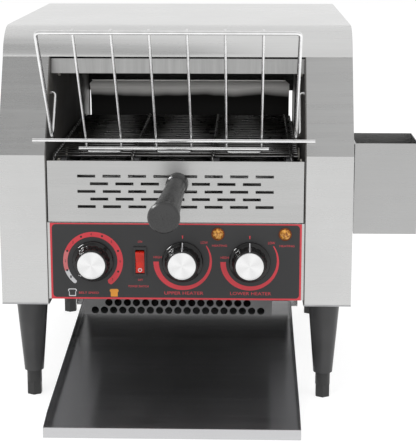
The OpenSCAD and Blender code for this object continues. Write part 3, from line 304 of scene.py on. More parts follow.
def stained(name, colour):
    """Sheet inside the oven, brushed and darkened by heat in soft patches."""
    made = Finish(name, colour, 0.6, 0.60)
    patches = made.noise((16, 16, 22), detail=5.0, warp=0.8)
    fine = made.grain("Y", FINE, detail=2.0)
    burnt = (colour[0] * 0.95, colour[1] * 0.80, colour[2] * 0.62)
    stains = made.spread(patches, 0, colours().grime, 0.4, 0.75)
    made.feed(
        Base_Color=made.mixed(stains, made.drift(fine, 0.85), burnt),
        Roughness=made.spread(patches, 0.52, 0.70),
        Normal=made.bumps(fine, 0.10, 0.15),
    )
    return made


def wiry(name, colour, roughness=0.16):
    """Drawn and polished wire with faint draw marks."""
    made = Finish(name, colour, 1.0, roughness)
    cloud = made.noise(90, detail=3.0)
    made.feed(
        Base_Color=made.drift(cloud, 0.86),
        Roughness=made.spread(cloud, roughness - 0.05, roughness + 0.10),
        Normal=made.bumps(made.noise(900), 0.06, 0.1),
    )
    return made


def painted(name, colour, roughness=0.42, grain=1400.0, metallic=0.0, bump=0.12):
    """Paint or moulded skin with a fine orange peel and slight colour drift."""
    made = Finish(name, colour, metallic, roughness)
    peel = made.noise(grain, detail=3.0)
    drift = made.noise(30, detail=4.0)
    made.feed(
        Base_Color=made.drift(drift, 0.82, 1.12),
        Roughness=made.spread(made.blend(peel, drift), roughness - 0.07, roughness + 0.09),
        Normal=made.bumps(peel, bump, 0.15),
    )
    return made


def glossy(name, colour, roughness, shine):
    """Polished moulded plastic with hairline wear."""
    made = Finish(name, colour, 0.0, roughness, Specular_IOR_Level=shine)
    drift = made.noise(60, detail=4.0)
    hair = made.noise((2500, 400, 2500))
    made.feed(
        Base_Color=made.drift(drift, 0.8, 1.25),
        Roughness=made.spread(made.blend(hair, drift), roughness - 0.04, roughness + 0.10),
        Normal=made.bumps(hair, 0.05, 0.1),
    )
    return made


def cast(name, colour, roughness=0.5, metallic=0.8):
    """Cast or fired surface with a sandy skin."""
    made = Finish(name, colour, metallic, roughness)
    sand = made.noise(700, detail=5.0, roughness=0.65)
    made.feed(
        Base_Color=made.drift(made.noise(40, detail=3.0), 0.75, 1.15),
        Roughness=made.spread(sand, roughness - 0.08, roughness + 0.12),
        Normal=made.bumps(sand, 0.35, 0.3),
    )
    return made


def scorched(name, colour):
    """Heating tube, grey where it has glowed and brown where it is cooler."""
    made = Finish(name, colour, 0.6, 0.5)
    bands = made.noise((35, 260, 260), detail=4.0, warp=0.5)
    made.feed(
        Base_Color=made.mixed(made.spread(bands, 0, 1), made.darker(0.55), (0.16, 0.15, 0.15)),
        Roughness=made.spread(bands, 0.38, 0.62),
        Normal=made.bumps(bands, 0.15, 0.2),
    )
    return made


FANS = 4


def turned_metal(name, colour):
    """Face turned on a lathe: fine rings, and faint fans of light painted into its colour between them."""
    made = Finish(name, colour, 1.0, 0.30, Anisotropic=0.35)
    rings = made.node(
        "TexWave", {"Vector": made.places(), "Scale": 620.0, "Distortion": 0.6},
        wave_type="RINGS", rings_direction="Y", wave_profile="SIN",
    ).outputs["Fac"]
    laid = made.node("Mapping", {"Vector": made.places(), "Rotation": (math.pi / 2, 0, 0)})
    round_it = made.node("TexGradient", {"Vector": laid.outputs["Vector"]}, gradient_type="RADIAL")
    fans = made.maths("SINE", made.maths("MULTIPLY", round_it.outputs["Fac"], FANS * math.tau))
    made.feed(
        Base_Color=made.mixed(made.spread(fans, 0, 1, -1, 1), made.darker(0.90), colour),
        Roughness=made.spread(rings, 0.24, 0.38, 0, 1),
        Normal=made.bumps(rings, 0.06, 0.1),
    )
    return made


def lens_glass(name, colour):
    """Tinted translucent lens."""
    made = Finish(name, colour, 0.0, 0.10, Transmission_Weight=0.15, IOR=1.49, Specular_IOR_Level=0.4)
    depth = made.noise(420, detail=3.0, warp=0.4)
    lit = made.spread(depth, 0, 1, 0.38, 0.62)
    made.feed(
        Base_Color=made.mixed(lit, made.darker(0.35), (1.0, 0.50, 0.10)), Normal=made.bumps(depth, 0.15, 0.4)
    )
    return made


def printed(name, colour):
    """Screen-printed ink with a fine mesh texture."""
    made = Finish(name, colour, 0.0, 0.46)
    mesh = made.noise(1900)
    made.feed(
        Base_Color=made.drift(made.blend(mesh, made.noise(70, detail=3.0)), 0.86),
        Roughness=made.spread(mesh, 0.38, 0.54),
        Normal=made.bumps(mesh, 0.06, 0.1),
    )
    return made


# Painted shade: the inner face of the rear panel is darkened, and so is the rear part of the tray under the
# housing
REAR_SHADE = ("Y", at(0, 409.2, 0).y, at(0, 409.6, 0).y, 0.0, 0.10)
TRAY_SHADE = ("Y", at(0, 240, 0).y, at(0, 165, 0).y, 20 * MM, 0.40)
# Painted shade: the deflector is darkened below its top bend, along a wavy line
DEFLECTOR_SHADE = ("Z", 291 * MM, 302 * MM, 14 * MM, 0.01)
# Each finish: how it is made, its colour or the name of one that a user can change, and its settings
FINISHES = {
    "side_steel": (brushed, "steel", dict(along="XY", streaks=0.06)),
    "drawer_steel": (brushed, "drawer", {}),
    "bin_steel": (brushed, "bin", dict(along="XY", streaks=0.06)),
    "roof_steel": (brushed, "roof", dict(roughness=0.28, streaks=0.05)),
    "panel_steel": (brushed, "steel", dict(roughness=0.33)),
    "oven_steel": (stained, "oven", {}),
    "header_steel": (brushed, (0.42, 0.42, 0.415), dict(roughness=0.34, along="Z", streaks=0.22)),
    "deflector_steel": (brushed, (0.70, 0.69, 0.67), dict(
        roughness=0.45, streaks=0.25, drawn=0.5, metallic=0.35, shine=0.1, shade=DEFLECTOR_SHADE,
    )),
    "rear_steel": (brushed, "steel", dict(shade=REAR_SHADE)),
    # The chute's steel is dark as painted shade under the oven, which the tray mirrors
    "chute_steel": (brushed, (0.12, 0.12, 0.12), dict(roughness=0.33)),
    "tray_steel": (brushed, "tray", dict(roughness=0.20, streaks=0.05, drawn=0.85, shade=TRAY_SHADE)),
    "guard_paint": (painted, "guard", dict(roughness=0.40)),
    "rack_wire": (wiry, "wire", {}),
    "belt_wire": (wiry, "belt", dict(roughness=0.28)),
    "shaft_steel": (brushed, (0.48, 0.48, 0.48), dict(roughness=0.30)),
    "wheel_iron": (cast, (0.14, 0.14, 0.145), {}),
    "bearing_bronze": (cast, (0.55, 0.40, 0.18), dict(roughness=0.38, metallic=1.0)),
    "heater_tube": (scorched, "heater", {}),
    "bush_ceramic": (painted, (0.74, 0.71, 0.64), dict(roughness=0.55, grain=900.0)),
    "overlay_film": (painted, "overlay", dict(roughness=0.50, grain=2600.0, bump=0.08)),
    "knob_black": (glossy, "knob", dict(roughness=0.12, shine=0.38)),
    "cap_metal": (turned_metal, "cap", {}),
    "lens_orange": (lens_glass, "lens", {}),
    "lamp_rim": (glossy, (0.22, 0.045, 0.006), dict(roughness=0.22, shine=0.3)),
    "base_paint": (painted, (0.46, 0.46, 0.47), {}),
    "rocker_red": (glossy, "rocker", dict(roughness=0.14, shine=0.35)),
    "switch_black": (painted, (0.020, 0.020, 0.021), dict(grain=1800.0)),
    "handle_grey": (painted, "handle", dict(roughness=0.28, grain=900.0)),
    "leg_paint": (painted, "leg", dict(roughness=0.34, metallic=0.3)),
    "foot_paint": (painted, (0.022, 0.022, 0.022), {}),
    "motor_metal": (cast, (0.42, 0.43, 0.45), dict(roughness=0.45)),
    "fan_plastic": (painted, (0.028, 0.028, 0.028), {}),
    "gland_plastic": (painted, (0.026, 0.026, 0.026), dict(roughness=0.50)),
    **{f"ink_{ink}": (printed, f"print_{ink}", {}) for ink in ("red", "pink", "white", "orange", "dark")},
}
finishes = {}


def finish(name):
    """The finish of that name, made at its first use."""
    if name not in finishes:
        maker, colour, settings = FINISHES[name]
        if isinstance(colour, str):
            colour = getattr(colours(), colour)
        finishes[name] = maker(name, colour, **settings).material
    return finishes[name]


# ---- Shapes ----


def add_object(data):
    """New object in the scene, named as its mesh, curve, lamp or camera."""
    made = bpy.data.objects.new(data.name, data)
    bpy.context.scene.collection.objects.link(made)
    return made


def add_piece(data, body, coat):
    """Puts a new piece on its body and its finish."""
    piece = add_object(data)
    data.materials.append(finish(coat))
    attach(piece, body)
    return piece


def wire_curve(name, paths, diameter):
    """Round wires along paths in millimetres."""
    curve = bpy.data.curves.new(name, "CURVE")
    curve.dimensions = "3D"
    curve.bevel_depth = diameter / 2
    curve.bevel_resolution = 3
    curve.use_fill_caps = True
    for path in paths:
        line = curve.splines.new("POLY")
        line.points.add(len(path) - 1)
        for point, place in zip(line.points, path):
            point.co = (*at(*place), 1.0)
        line.use_smooth = True
    return curve


def rounded(path, reach, steps=8):
    """The path with its corners turned into arcs that start that far from each corner."""
    made = [Vector(path[0])]
    for before, corner, after in zip(path, path[1:], path[2:]):
        corner = Vector(corner)
        first = Vector(before) - corner
        last = Vector(after) - corner
        near = min(reach, first.length / 2, last.length / 2)
        start = corner + first.normalized() * near
        end = corner + last.normalized() * near
        for i in range(steps + 1):
            t = i / steps
            made.append(start * (1 - t) ** 2 + corner * 2 * t * (1 - t) + end * t ** 2)
    made.append(Vector(path[-1]))
    return made


def mesh_of(name, points, faces):
    mesh = bpy.data.meshes.new(name)
    mesh.from_pydata([tuple(p) for p in points], [], faces)
    mesh.update()
    shape = bmesh.new()
    shape.from_mesh(mesh)
    bmesh.ops.remove_doubles(shape, verts=shape.verts, dist=1e-7)
    bmesh.ops.recalc_face_normals(shape, faces=shape.faces)
    shape.to_mesh(mesh)
    shape.free()
    return mesh


def lathe(name, place, profile, steps, sharp=50):
    """Shape turned about the front-to-rear axis, with edges shown sharp from that many degrees.

    The profile is (radius, height in front) in millimetres, and a radius may be a function of the angle.
    """
    points, faces = [], []
    for radius, height in profile:
        for k in range(steps):
            a = math.tau * k / steps
            r = radius(a) if callable(radius) else radius
            points.append(place + Vector((r * math.cos(a), -height, r * math.sin(a))) * MM)
    for i in range(len(profile) - 1):
        for k in range(steps):
            n = (k + 1) % steps
            faces.append((i * steps + k, i * steps + n, (i + 1) * steps + n, (i + 1) * steps + k))
    faces.append(tuple(range(steps))[::-1])
    faces.append(tuple(range((len(profile) - 1) * steps, len(profile) * steps)))
    mesh = mesh_of(name, points, faces)
    mesh.polygons.foreach_set("use_smooth", [True] * len(mesh.polygons))
    mesh.set_sharp_from_angle(angle=math.radians(sharp))
    return mesh


def arc(cx, cz, radius, first, last, steps):
    """Points on an arc, with angles in degrees from the right, upwards."""
    made = []
    for i in range(steps + 1):
        a = math.radians(first + (last - first) * i / steps)
        made.append((cx + radius * math.cos(a), cz + radius * math.sin(a)))
    return made


def circle(cx, cz, radius, steps):
    return arc(cx, cz, radius, 0, 360, steps)[:-1]


# The overlay's front face, and the back of the print just behind it
OVERLAY_Y, PRINT_BACK = -0.5, -0.45


def print_mesh(name, outer, inner=None, closed=False, front=None, back=PRINT_BACK):
    """Flat print: a filled outline, or the band between two lines of as many points."""
    front = OVERLAY_Y - sizes().print_rise / MM if front is None else front
    line = outer + (inner or [])
    points = [at(x, y, z) for y in (front, back) for x, z in line]
    count = len(outer)
    steps = count - 1 if inner and not closed else count
    along = [(k, (k + 1) % count) for k in range(steps)]
    if inner:
        flat = [(a, b, count + b, count + a) for a, b in along]
        walls = along + [(count + a, count + b) for a, b in along]
        if not closed:
            walls += [(0, count), (count - 1, 2 * count - 1)]
    else:
        flat, walls = [tuple(range(count))], along
    behind = len(line)
    faces = flat + [tuple(behind + k for k in face) for face in flat]
    faces += [(a, b, behind + b, behind + a) for a, b in walls]
    return mesh_of(name, points, faces)


def add_print(name, ink, outer, inner=None, closed=False, front=None):
    """Flat print on the overlay."""
    add_piece(print_mesh(name, outer, inner, closed, front), "body", ink)


def add_word(name, words, x, z, high, wide, ink="ink_red", front=OVERLAY_Y):
    """Printed word of the given height and width, centred on its place."""
    text = bpy.data.curves.new(name, "FONT")
    text.body = words
    text.align_x = "CENTER"
    text.align_y = "CENTER"
    text.extrude = sizes().print_rise / 2
    text.resolution_u = 3
    piece = add_piece(text, "body", ink)
    bpy.context.view_layer.update()
    piece.scale = (wide * MM / piece.dimensions.x, high * MM / piece.dimensions.y, 1.0)
    piece.rotation_euler = (math.pi / 2, 0, 0)
    piece.location = at(x, front, z)


def soften(node):
    """Rounds the cut edges of a sheet-metal node a little, so that they catch the light."""
    carried = frame["nodes"][node]
    weld = carried.modifiers.new("weld", "WELD")
    weld.merge_threshold = 1e-6
    bevel = carried.modifiers.new("edge_round", "BEVEL")
    bevel.width = sizes().edge_round
    bevel.segments = 2
    bevel.limit_method = "ANGLE"
    bevel.angle_limit = math.radians(40)
    bevel.harden_normals = True
    bevel.use_clamp_overlap = True


def coat_nodes(table):
    """Gives carried-over nodes the finish that they are listed under."""
    for coat, nodes in table.items():
        for node in nodes:
            data = frame["nodes"][node].data
            data.materials.clear()
            data.materials.append(finish(coat))


# ---- Operators ----

LENS, SENSOR = 112.67, 36.0
CAMERA_PLACE = at(73.15, -1408.54, 525.02)
# How far the camera looks down and to the left, in radians
LOOKS_DOWN, LOOKS_LEFT = 0.22504, 0.02794

# Brightness of the surroundings from the floor (0) to overhead (1). The dark band in front of the toaster and
# above it is stronger on the left.
LEFT_LIGHT = [(0.0, 0.88), (0.54, 0.88), (0.64, 0.58), (0.84, 0.40), (0.93, 0.58), (1.0, 0.86)]
RIGHT_LIGHT = [(0.0, 0.86), (0.54, 0.88), (0.64, 0.68), (0.84, 0.80), (0.93, 0.82), (1.0, 0.88)]
REAR_LIGHT = [(0.0, 0.90), (0.56, 1.00), (0.66, 0.98), (0.80, 0.88), (0.92, 0.84), (1.0, 0.86)]
# How much light the surroundings and the counter give where they aren't seen themselves
SKY_LIGHT, COUNTER_LIGHT = 0.72, 0.80
# The counter where it is seen: how much light it returns, and how much it glows
COUNTER_SHADE, COUNTER_GLOW = 0.36, 0.78
COUNTER_REACH = 6.0

LAMP_AIM = at(0, 150, 190)
# Lamps: name, place and width in metres, power, and whether it shows only as glints
LAMPS = (
    ("key_lamp", (-0.9, -1.3, 1.9), 1.1, 13.0, False),
    ("fill_lamp", (1.5, -1.2, 1.3), 1.2, 7.0, False),
    ("back_lamp", (0.3, 1.6, 1.7), 1.4, 8.0, False),
    ("glint_lamp", (-1.05, -0.30, 0.95), 0.45, 18.0, True),
    ("oven_lamp", (0.0, -1.85, 0.70), 0.60, 72.0, False),
)
# Lamps that light only some pieces, and how the names of those pieces end
LAMP_TARGETS = (("glint_lamp", ("_grip", "_handle", "_lens", "_rocker")), ("oven_lamp", ("_deflector",)))


class TOASTER_OT_stage(bpy.types.Operator):
    """Camera, lamps, surroundings and the counter"""

    bl_idname = "toaster.stage"
    bl_label = "Stage"

    def execute(self, context):
        scene = context.scene
        scene.view_settings.view_transform = "Standard"
        self.add_camera(scene)
        self.add_surroundings(scene)
        self.add_counter()
        self.add_lamps()
        return {"FINISHED"}

    def add_camera(self, scene):
        camera = bpy.data.cameras.new("camera")
        camera.lens = LENS
        camera.sensor_width = SENSOR
        holder = add_object(camera)
        holder.location = CAMERA_PLACE
        holder.rotation_euler = (math.pi / 2 - LOOKS_DOWN, 0, LOOKS_LEFT)
        scene.camera = holder

    def add_surroundings(self, scene):
        scene.world = bpy.data.worlds.new("surroundings")
        scene.world.cycles.sampling_method = "NONE"
        sky = Nodes(scene.world)
        sky.tree.nodes.clear()
        parts = sky.node("SeparateXYZ", {"Vector": sky.node("TexCoord").outputs["Generated"]})
        across, depth, height = parts.outputs
        height = sky.maths("MULTIPLY_ADD", height, 0.5, 0.5)
        left, right, rear = (sky.ramp(height, stops) for stops in (LEFT_LIGHT, RIGHT_LIGHT, REAR_LIGHT))
        front = sky.mixed(sky.spread(across, 0, 1, -0.06, 0.20), left, right)
        round_about = sky.mixed(sky.spread(depth, 0, 1, -0.35, 0.25), front, rear)
        plain, mirrored, white = (
            sky.node("Background", {"Color": colour, "Strength": strength}).outputs[0]
            for colour, strength in (((1, 1, 1), SKY_LIGHT), (round_about, 1.0), ((1, 1, 1), 1.0))
        )
        lighting = sky.seen_by(["Glossy"], mirrored, plain)
        sky.node("OutputWorld", {"Surface": sky.seen_by(["Camera", "Transmission"], white, lighting)})

    def add_counter(self):
        corners = [(x * COUNTER_REACH, y * COUNTER_REACH, 0) for x, y in ((-1, -1), (1, -1), (1, 1), (-1, 1))]
        mesh = mesh_of("counter", corners, [(0, 1, 2, 3)])
        add_object(mesh)
        made = bpy.data.materials.new("counter_white")
        made.cycles.emission_sampling = "NONE"
        top = Nodes(made)
        top.tree.nodes.clear()
        plain, shaded = (
            top.node("BsdfDiffuse", {"Color": (level, level, level)}).outputs[0]
            for level in (COUNTER_LIGHT, COUNTER_SHADE)
        )
        glow = top.node("Emission", {"Strength": COUNTER_GLOW}).outputs[0]
        shown = top.node("AddShader", {0: shaded, 1: glow}).outputs[0]
        surface = top.seen_by(["Camera", "Glossy", "Transmission"], shown, plain)
        top.node("OutputMaterial", {"Surface": surface})
        mesh.materials.append(made)

    def add_lamps(self):
        for name, place, size, power, glints in LAMPS:
            data = bpy.data.lights.new(name, "AREA")
            data.shape = "DISK"
            data.size = size
            data.energy = power
            lamp = add_object(data)
            lamp.location = place
            lamp.visible_glossy = glints
            lamp.visible_diffuse = not glints
            lamp.rotation_euler = (LAMP_AIM - lamp.location).to_track_quat("-Z", "Y").to_euler()


class TOASTER_OT_lamp_targets(bpy.types.Operator):
    """Keeps the glints to the moulded pieces and the oven's lamp to the deflector"""

    bl_idname = "toaster.lamp_targets"
    bl_label = "Lamp targets"

    def execute(self, context):
        for lamp, endings in LAMP_TARGETS:
            lit = bpy.data.collections.new(f"{lamp}_targets")
            for piece in context.scene.objects:
                if piece.name.endswith(endings):
                    lit.objects.link(piece)
            bpy.data.objects[lamp].light_linking.receiver_collection = lit
        return {"FINISHED"}


# Carried-over nodes, listed under their finish
SHEETS = {
    "side_steel": ("left_side_cover", "right_side_cover"),
    "roof_steel": ("roof_cover",),
    "rear_steel": ("rear_panel",),
    "base_paint": ("base_plate",),
    "panel_steel": ("compartment_cover", "control_panel", "tray_rails", "crumb_pan", "bin_bracket"),
    "header_steel": ("header_panel",),
    "oven_steel": ("upper_reflector", "left_inner_wall", "right_inner_wall"),
    "deflector_steel": ("rear_deflector",),
    "chute_steel": ("toast_chute",),
    "drawer_steel": ("drawer_front",),
    "tray_steel": ("toast_tray",),
    "bin_steel": ("side_bin",),
    "guard_paint": ("air_intake_guard",),
}
FITTINGS = {
    "overlay_film": ("panel_overlay",),
    "heater_tube": ("upper_heaters", "lower_heaters"),
    "bush_ceramic": ("heater_bushes",),
    "handle_grey": ("drawer_handle",),
    "shaft_steel": ("front_shaft", "rear_shaft", "drive_chain", "driven_sprocket", "motor_sprocket"),
    "wheel_iron": ("front_belt_wheels", "rear_belt_wheels"),
    "bearing_bronze": ("shaft_bearings", "speed_spindle", "upper_heat_spindle", "lower_heat_spindle"),
    "motor_metal": ("gear_motor", "speed_control"),
    "fan_plastic": ("fan_frame", "fan_impeller"),
    "switch_black": ("switch_housing", "heat_regulators"),
    "rocker_red": ("switch_rocker",),
    "leg_paint": ("legs",),
    "foot_paint": ("front_left_foot", "front_right_foot", "rear_left_foot", "rear_right_foot"),
    "gland_plastic": ("cable_gland",),
    "panel_steel": ("cover_screws",),
}
# Sheets whose cut edges are rounded
ROUNDED = (
    "left_side_cover", "right_side_cover", "roof_cover", "header_panel", "drawer_front", "toast_tray",
    "side_bin", "compartment_cover", "tray_rails",
)


class TOASTER_OT_sheets(bpy.types.Operator):
    """Finishes of the casing, the oven, the tray and the bin"""

    bl_idname = "toaster.sheets"
    bl_label = "Sheet metal"

    def execute(self, context):
        coat_nodes(SHEETS)
        for node in ROUNDED:
            soften(node)
        return {"FINISHED"}


class TOASTER_OT_fittings(bpy.types.Operator):
    """Finishes of the carried-over fittings"""

    bl_idname = "toaster.fittings"
    bl_label = "Fittings"

    def execute(self, context):
        coat_nodes(FITTINGS)
        return {"FINISHED"}


# Belt loop round its two shafts
SHAFT_Z, FRONT_SHAFT_Y, REAR_SHAFT_Y, RING_R = 245.0, 30.0, 300.0, 23.5
BELT_WIRES, BELT_HALF_W, WIRE_END = 54, 127.0, 2.0
LINK_XS = (-124.0, -42.0, 42.0, 124.0)


def belt_place(s, out):
    """Place, as (y, z), that far along the loop from above the front shaft, and that far outside it."""
    run, turn = REAR_SHAFT_Y - FRONT_SHAFT_Y, math.pi * RING_R
    s %= 2 * (run + turn)
    if s < run:
        y, a = FRONT_SHAFT_Y + s, math.pi / 2
    elif s < run + turn:
        y, a = REAR_SHAFT_Y, math.pi / 2 - (s - run) / RING_R
    elif s < 2 * run + turn:
        y, a = REAR_SHAFT_Y - (s - run - turn), -math.pi / 2
    else:
        y, a = FRONT_SHAFT_Y, -math.pi / 2 - (s - 2 * run - turn) / RING_R
    return Vector((y, SHAFT_Z)) + Vector((math.cos(a), math.sin(a))) * (RING_R + out)


class TOASTER_OT_belt(bpy.types.Operator):
    """Wire belt: cross wires whose hooks hold the next wire"""

    bl_idname = "toaster.belt"
    bl_label = "Belt"

    def execute(self, context):
        step = 2 * (REAR_SHAFT_Y - FRONT_SHAFT_Y + math.pi * RING_R) / BELT_WIRES
        reach = step + sizes().link_reach / MM
        # A hook as (across, along, outward): over the next wire, round it and back below it
        hook = (
            (-3.0, 0.0, 0.0), (-3.6, 2.2, 1.1), (-4.5, step - 1.0, 1.5), (-4.7, reach - 0.6, 1.2),
            (-4.7, reach, 0.0), (-4.5, reach - 0.6, -1.0), (-3.4, step - 1.5, -1.2),
            (-1.6, 2.2, -0.7), (-0.6, 0.0, 0.0),
        )
        wire = [(-BELT_HALF_W - WIRE_END, 0, 0)]
        wire += [(x + across, along, out) for x in LINK_XS for across, along, out in hook]
        wire.append((BELT_HALF_W, 0, 0))
        paths = [
            [(x, *belt_place((i + 0.5) * step + along, out)) for x, along, out in wire]
            for i in range(BELT_WIRES)
        ]
        wires = wire_curve("belt_wires", paths, sizes().belt_wire)
        piece = add_piece(wires, "body", "belt_wire")
        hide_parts("conveyor_belt")
        return {"FINISHED"}


# Feed rack seen from the side, as (y, z)
RACK_TOP = Vector((-88.0, 406.0))
STUB_ROD = Vector((5.328, 287.0))
PIVOT = Vector((46.0, 331.0))
# How far the frame passes over the stub rod, and how far the slats lie over the rods
FRAME_LIFT, SLAT_LIFT = 4.05, 3.45
# The slats end in toes that run this far past the stub rod, with a gap to the belt's top
TOE_RUN, TOE_GAP, BELT_TOP = 12.0, 0.3, 270.0
# The rack seen from the front. Its middle is a little left of the panel's.
RACK_SHIFT, RACK_HALF_W, HOOK_X, PIN_X = -2.0, 126.0, 128.8, 137.2
HOOK_RUN, HOOK_RISE = 10.0, 3.0
SLAT_PITCH, SLAT_BEND, FRAME_BEND = 36.4, 4.0, 5.0
# How far the stub rod reaches past the frame, and the low rod past the last slats
STUB_END, LOW_ROD_END = 20.0, 7.5


def beside(a, b, along, off):
    """Point beside the line from a to b, seen from the right: so far along it, and so far to its left."""
    u = (b - a).normalized()
    return a + u * along + Vector((-u.y, u.x)) * off


class TOASTER_OT_rack(bpy.types.Operator):
    """Feed rack: round-cornered frame, cross rods and bent slats"""

    bl_idname = "toaster.rack"
    bl_label = "Feed rack"

    def execute(self, context):
        rack_l = (STUB_ROD - RACK_TOP).length
        over_rod = beside(STUB_ROD, RACK_TOP, 0, -FRAME_LIFT)
        foot = beside(RACK_TOP, over_rod, rack_l + 1, 0)

        def half_frame(side):
            side_x = side * RACK_HALF_W + RACK_SHIFT
            return [
                (side_x, *RACK_TOP), (side_x, *foot),
                (side * HOOK_X, foot.x + HOOK_RUN, foot.y + HOOK_RISE),
                (side * HOOK_X, *PIVOT), (side * PIN_X, *PIVOT),
            ]

        def rod(place, reach):
            return [(RACK_SHIFT - reach, *place), (RACK_SHIFT + reach, *place)]

        top = beside(RACK_TOP, over_rod, -0.5, SLAT_LIFT)
        knee = beside(RACK_TOP, STUB_ROD, rack_l + SLAT_BEND + 0.5, SLAT_LIFT)
        toe = Vector((STUB_ROD.x + TOE_RUN, BELT_TOP + TOE_GAP + sizes().slat_wire / MM))
        low_rod = beside(knee, toe, SLAT_BEND + 3, -SLAT_LIFT)
        wires = wire_curve("rack_frame_wires", [
            rounded(half_frame(-1)[::-1] + half_frame(1), FRAME_BEND),
            rod(STUB_ROD, RACK_HALF_W + STUB_END),
            rod(low_rod, 2.5 * SLAT_PITCH + LOW_ROD_END),
        ], sizes().rack_wire)
        piece = add_piece(wires, "feed_rack", "rack_wire")
        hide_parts("rack_frame")
        slats = []
        for pair in (-1, 0, 1):
            left, right = (RACK_SHIFT + (2 * pair + side) * SLAT_PITCH for side in (-0.5, 0.5))
            slats.append(rounded([
                (left, *top), (left, *knee), (left, *toe), (right, *toe), (right, *knee), (right, *top),
            ], SLAT_BEND))
        wires = wire_curve("rack_slat_wires", slats, sizes().slat_wire)
        piece = add_piece(wires, "feed_rack", "rack_wire")
        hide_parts("rack_slats")
        return {"FINISHED"}


KNOB_Z, KNOB_BACK_Y = 159.7, -0.8
SPEED_X, UPPER_X, LOWER_X = -86.8, 7.2, 77.4
# Knobs: name, body, place across the panel and angle of the pointer line
KNOBS = (
    ("speed", "speed_dial", SPEED_X, 225.0),
    ("upper_heat", "upper_heat_dial", UPPER_X, 90.0),
    ("lower_heat", "lower_heat_dial", LOWER_X, 90.0),
)
FLUTES, POINTER_WIRE = 16, 1.15


class TOASTER_OT_knobs(bpy.types.Operator):
    """Skirted knobs with a fluted grip, a pointer line and a turned cap"""

    bl_idname = "toaster.knobs"
    bl_label = "Knobs"

    def execute(self, context):
        skirt = sizes().knob_radius / MM
        cap = sizes().cap_radius / MM
        depth = sizes().flute_depth / MM

        def fluted(radius, share_of_depth):
            return lambda a: radius - depth * share_of_depth * (0.5 + 0.5 * math.cos(FLUTES * a)) ** 3

        grip_profile = [
            (1.0, 0.0), (skirt - 0.4, 0.0), (skirt, 0.4), (skirt, 2.2), (skirt - 0.3, 2.8),
            (skirt - 1.2, 3.4), (cap + 4.9, 3.9), (cap + 4.0, 4.4), (fluted(cap + 3.3, 0.4), 5.4),
            (fluted(cap + 2.9, 1.0), 7.4), (fluted(cap + 2.5, 1.0), 12.0), (fluted(cap + 2.2, 0.8), 15.5),
            (cap + 1.95, 17.3), (cap + 1.6, 18.0), (cap + 1.1, 18.4), (cap + 0.5, 18.5),
            (cap + 0.2, 18.3), (cap + 0.15, 17.6), (1.0, 17.6),
        ]
        cap_profile = [
            (cap - 0.5, 17.6), (cap, 17.8), (cap, 18.75), (cap - 0.25, 19.0), (cap - 0.9, 19.0),
            (cap - 1.2, 18.85), (cap - 1.6, 18.85), (0.6, 18.9),
        ]
        # The pointer line, as (radius, height), down the grip and over the skirt
        pointer_line = [
            (cap + 0.7, 18.45), (cap + 1.6, 17.95), (cap + 2.2, 15.5), (cap + 2.9, 8.0),
            (cap + 3.3, 4.9), (cap + 4.3, 4.05), (skirt - 1.1, 3.35), (skirt - 0.5, 2.9),
        ]
        for name, body, x, angle in KNOBS:
            centre = at(x, KNOB_BACK_Y, KNOB_Z)
            knob = lathe(f"{name}_grip", centre, grip_profile, steps=FLUTES * 12)
            grip = add_piece(knob, body, "knob_black")
            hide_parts(f"{name}_knob")
            # The cap is made about its own middle, because its rings and painted fans of light are drawn
            # about that middle
            disc = lathe(f"{name}_cap_disc", Vector(), cap_profile, steps=96)
            cap_piece = add_piece(disc, body, "cap_metal")
            cap_piece.location = centre
            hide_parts(f"{name}_knob_cap")
            a = math.radians(angle)
            path = [(x + r * math.cos(a), KNOB_BACK_Y - h, KNOB_Z + r * math.sin(a)) for r, h in pointer_line]
            pointer = wire_curve(f"{name}_pointer", [path], POINTER_WIRE * MM)
            add_piece(pointer, body, "ink_white")
        return {"FINISHED"}


LAMP_XS, LAMP_Z = (44.1, 114.1), 189.8
LENS_RINGS, LENS_FACETS = 4, 12
# Height in front of the overlay at which the lens starts, and how far it bulges
LENS_BACK, LENS_BULGE = 0.8, 3.6


def lens_mesh(name, centre, radius):
    """Lens of three-cornered facets between rings that close in towards its top."""
    points, faces = [], []
    for ring in range(LENS_RINGS):
        a = math.radians(8 + 70 * ring / (LENS_RINGS - 1))
        r, height = radius * math.cos(a), LENS_BACK + LENS_BULGE * math.sin(a)
        for k in range(LENS_FACETS):
            b = math.tau * (k + 0.5 * (ring % 2)) / LENS_FACETS
            points.append(centre + Vector((r * math.cos(b), -height, r * math.sin(b))) * MM)
    for ring in range(LENS_RINGS - 1):
        low, high = ring * LENS_FACETS, (ring + 1) * LENS_FACETS
        for k in range(LENS_FACETS):
            n = (k + 1) % LENS_FACETS
            if ring % 2 == 0:
                faces += [(low + k, low + n, high + k), (low + n, high + n, high + k)]
            else:
                faces += [(low + k, low + n, high + n), (low + k, high + n, high + k)]
    faces.append(tuple(range((LENS_RINGS - 1) * LENS_FACETS, LENS_RINGS * LENS_FACETS)))
    faces.append(tuple(range(LENS_FACETS)))
    return mesh_of(name, points, faces)


class TOASTER_OT_lamps(bpy.types.Operator):
    """Indicator lamps: a rim and barrel, and a lens with facets"""

    bl_idname = "toaster.lamps"
    bl_label = "Indicator lamps"

    def execute(self, context):
        rim = sizes().lamp_radius / MM
        barrel, inner = rim - 1.3, rim - 1.0
        profile = [
            (0.5, -16.0), (barrel, -16.0), (barrel, 0.0), (rim - 0.2, 0.0), (rim, 0.2), (rim, 1.0),
            (rim - 0.25, 1.25), (rim - 0.8, 1.2), (inner, LENS_BACK), (0.5, LENS_BACK),
        ]
        for i, x in enumerate(LAMP_XS, 1):
            centre = at(x, OVERLAY_Y, LAMP_Z)
            housing = lathe(f"lamp_{i}_body", centre, profile, steps=48, sharp=35)
            lens = lens_mesh(f"lamp_{i}_lens", centre, inner)
            for piece in (
                add_piece(housing, "body", "lamp_rim"),
                add_piece(lens, "body", "lens_orange"),
            ):
                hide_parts("indicator_lamps")
        return {"FINISHED"}


SWITCH_X = -37.5
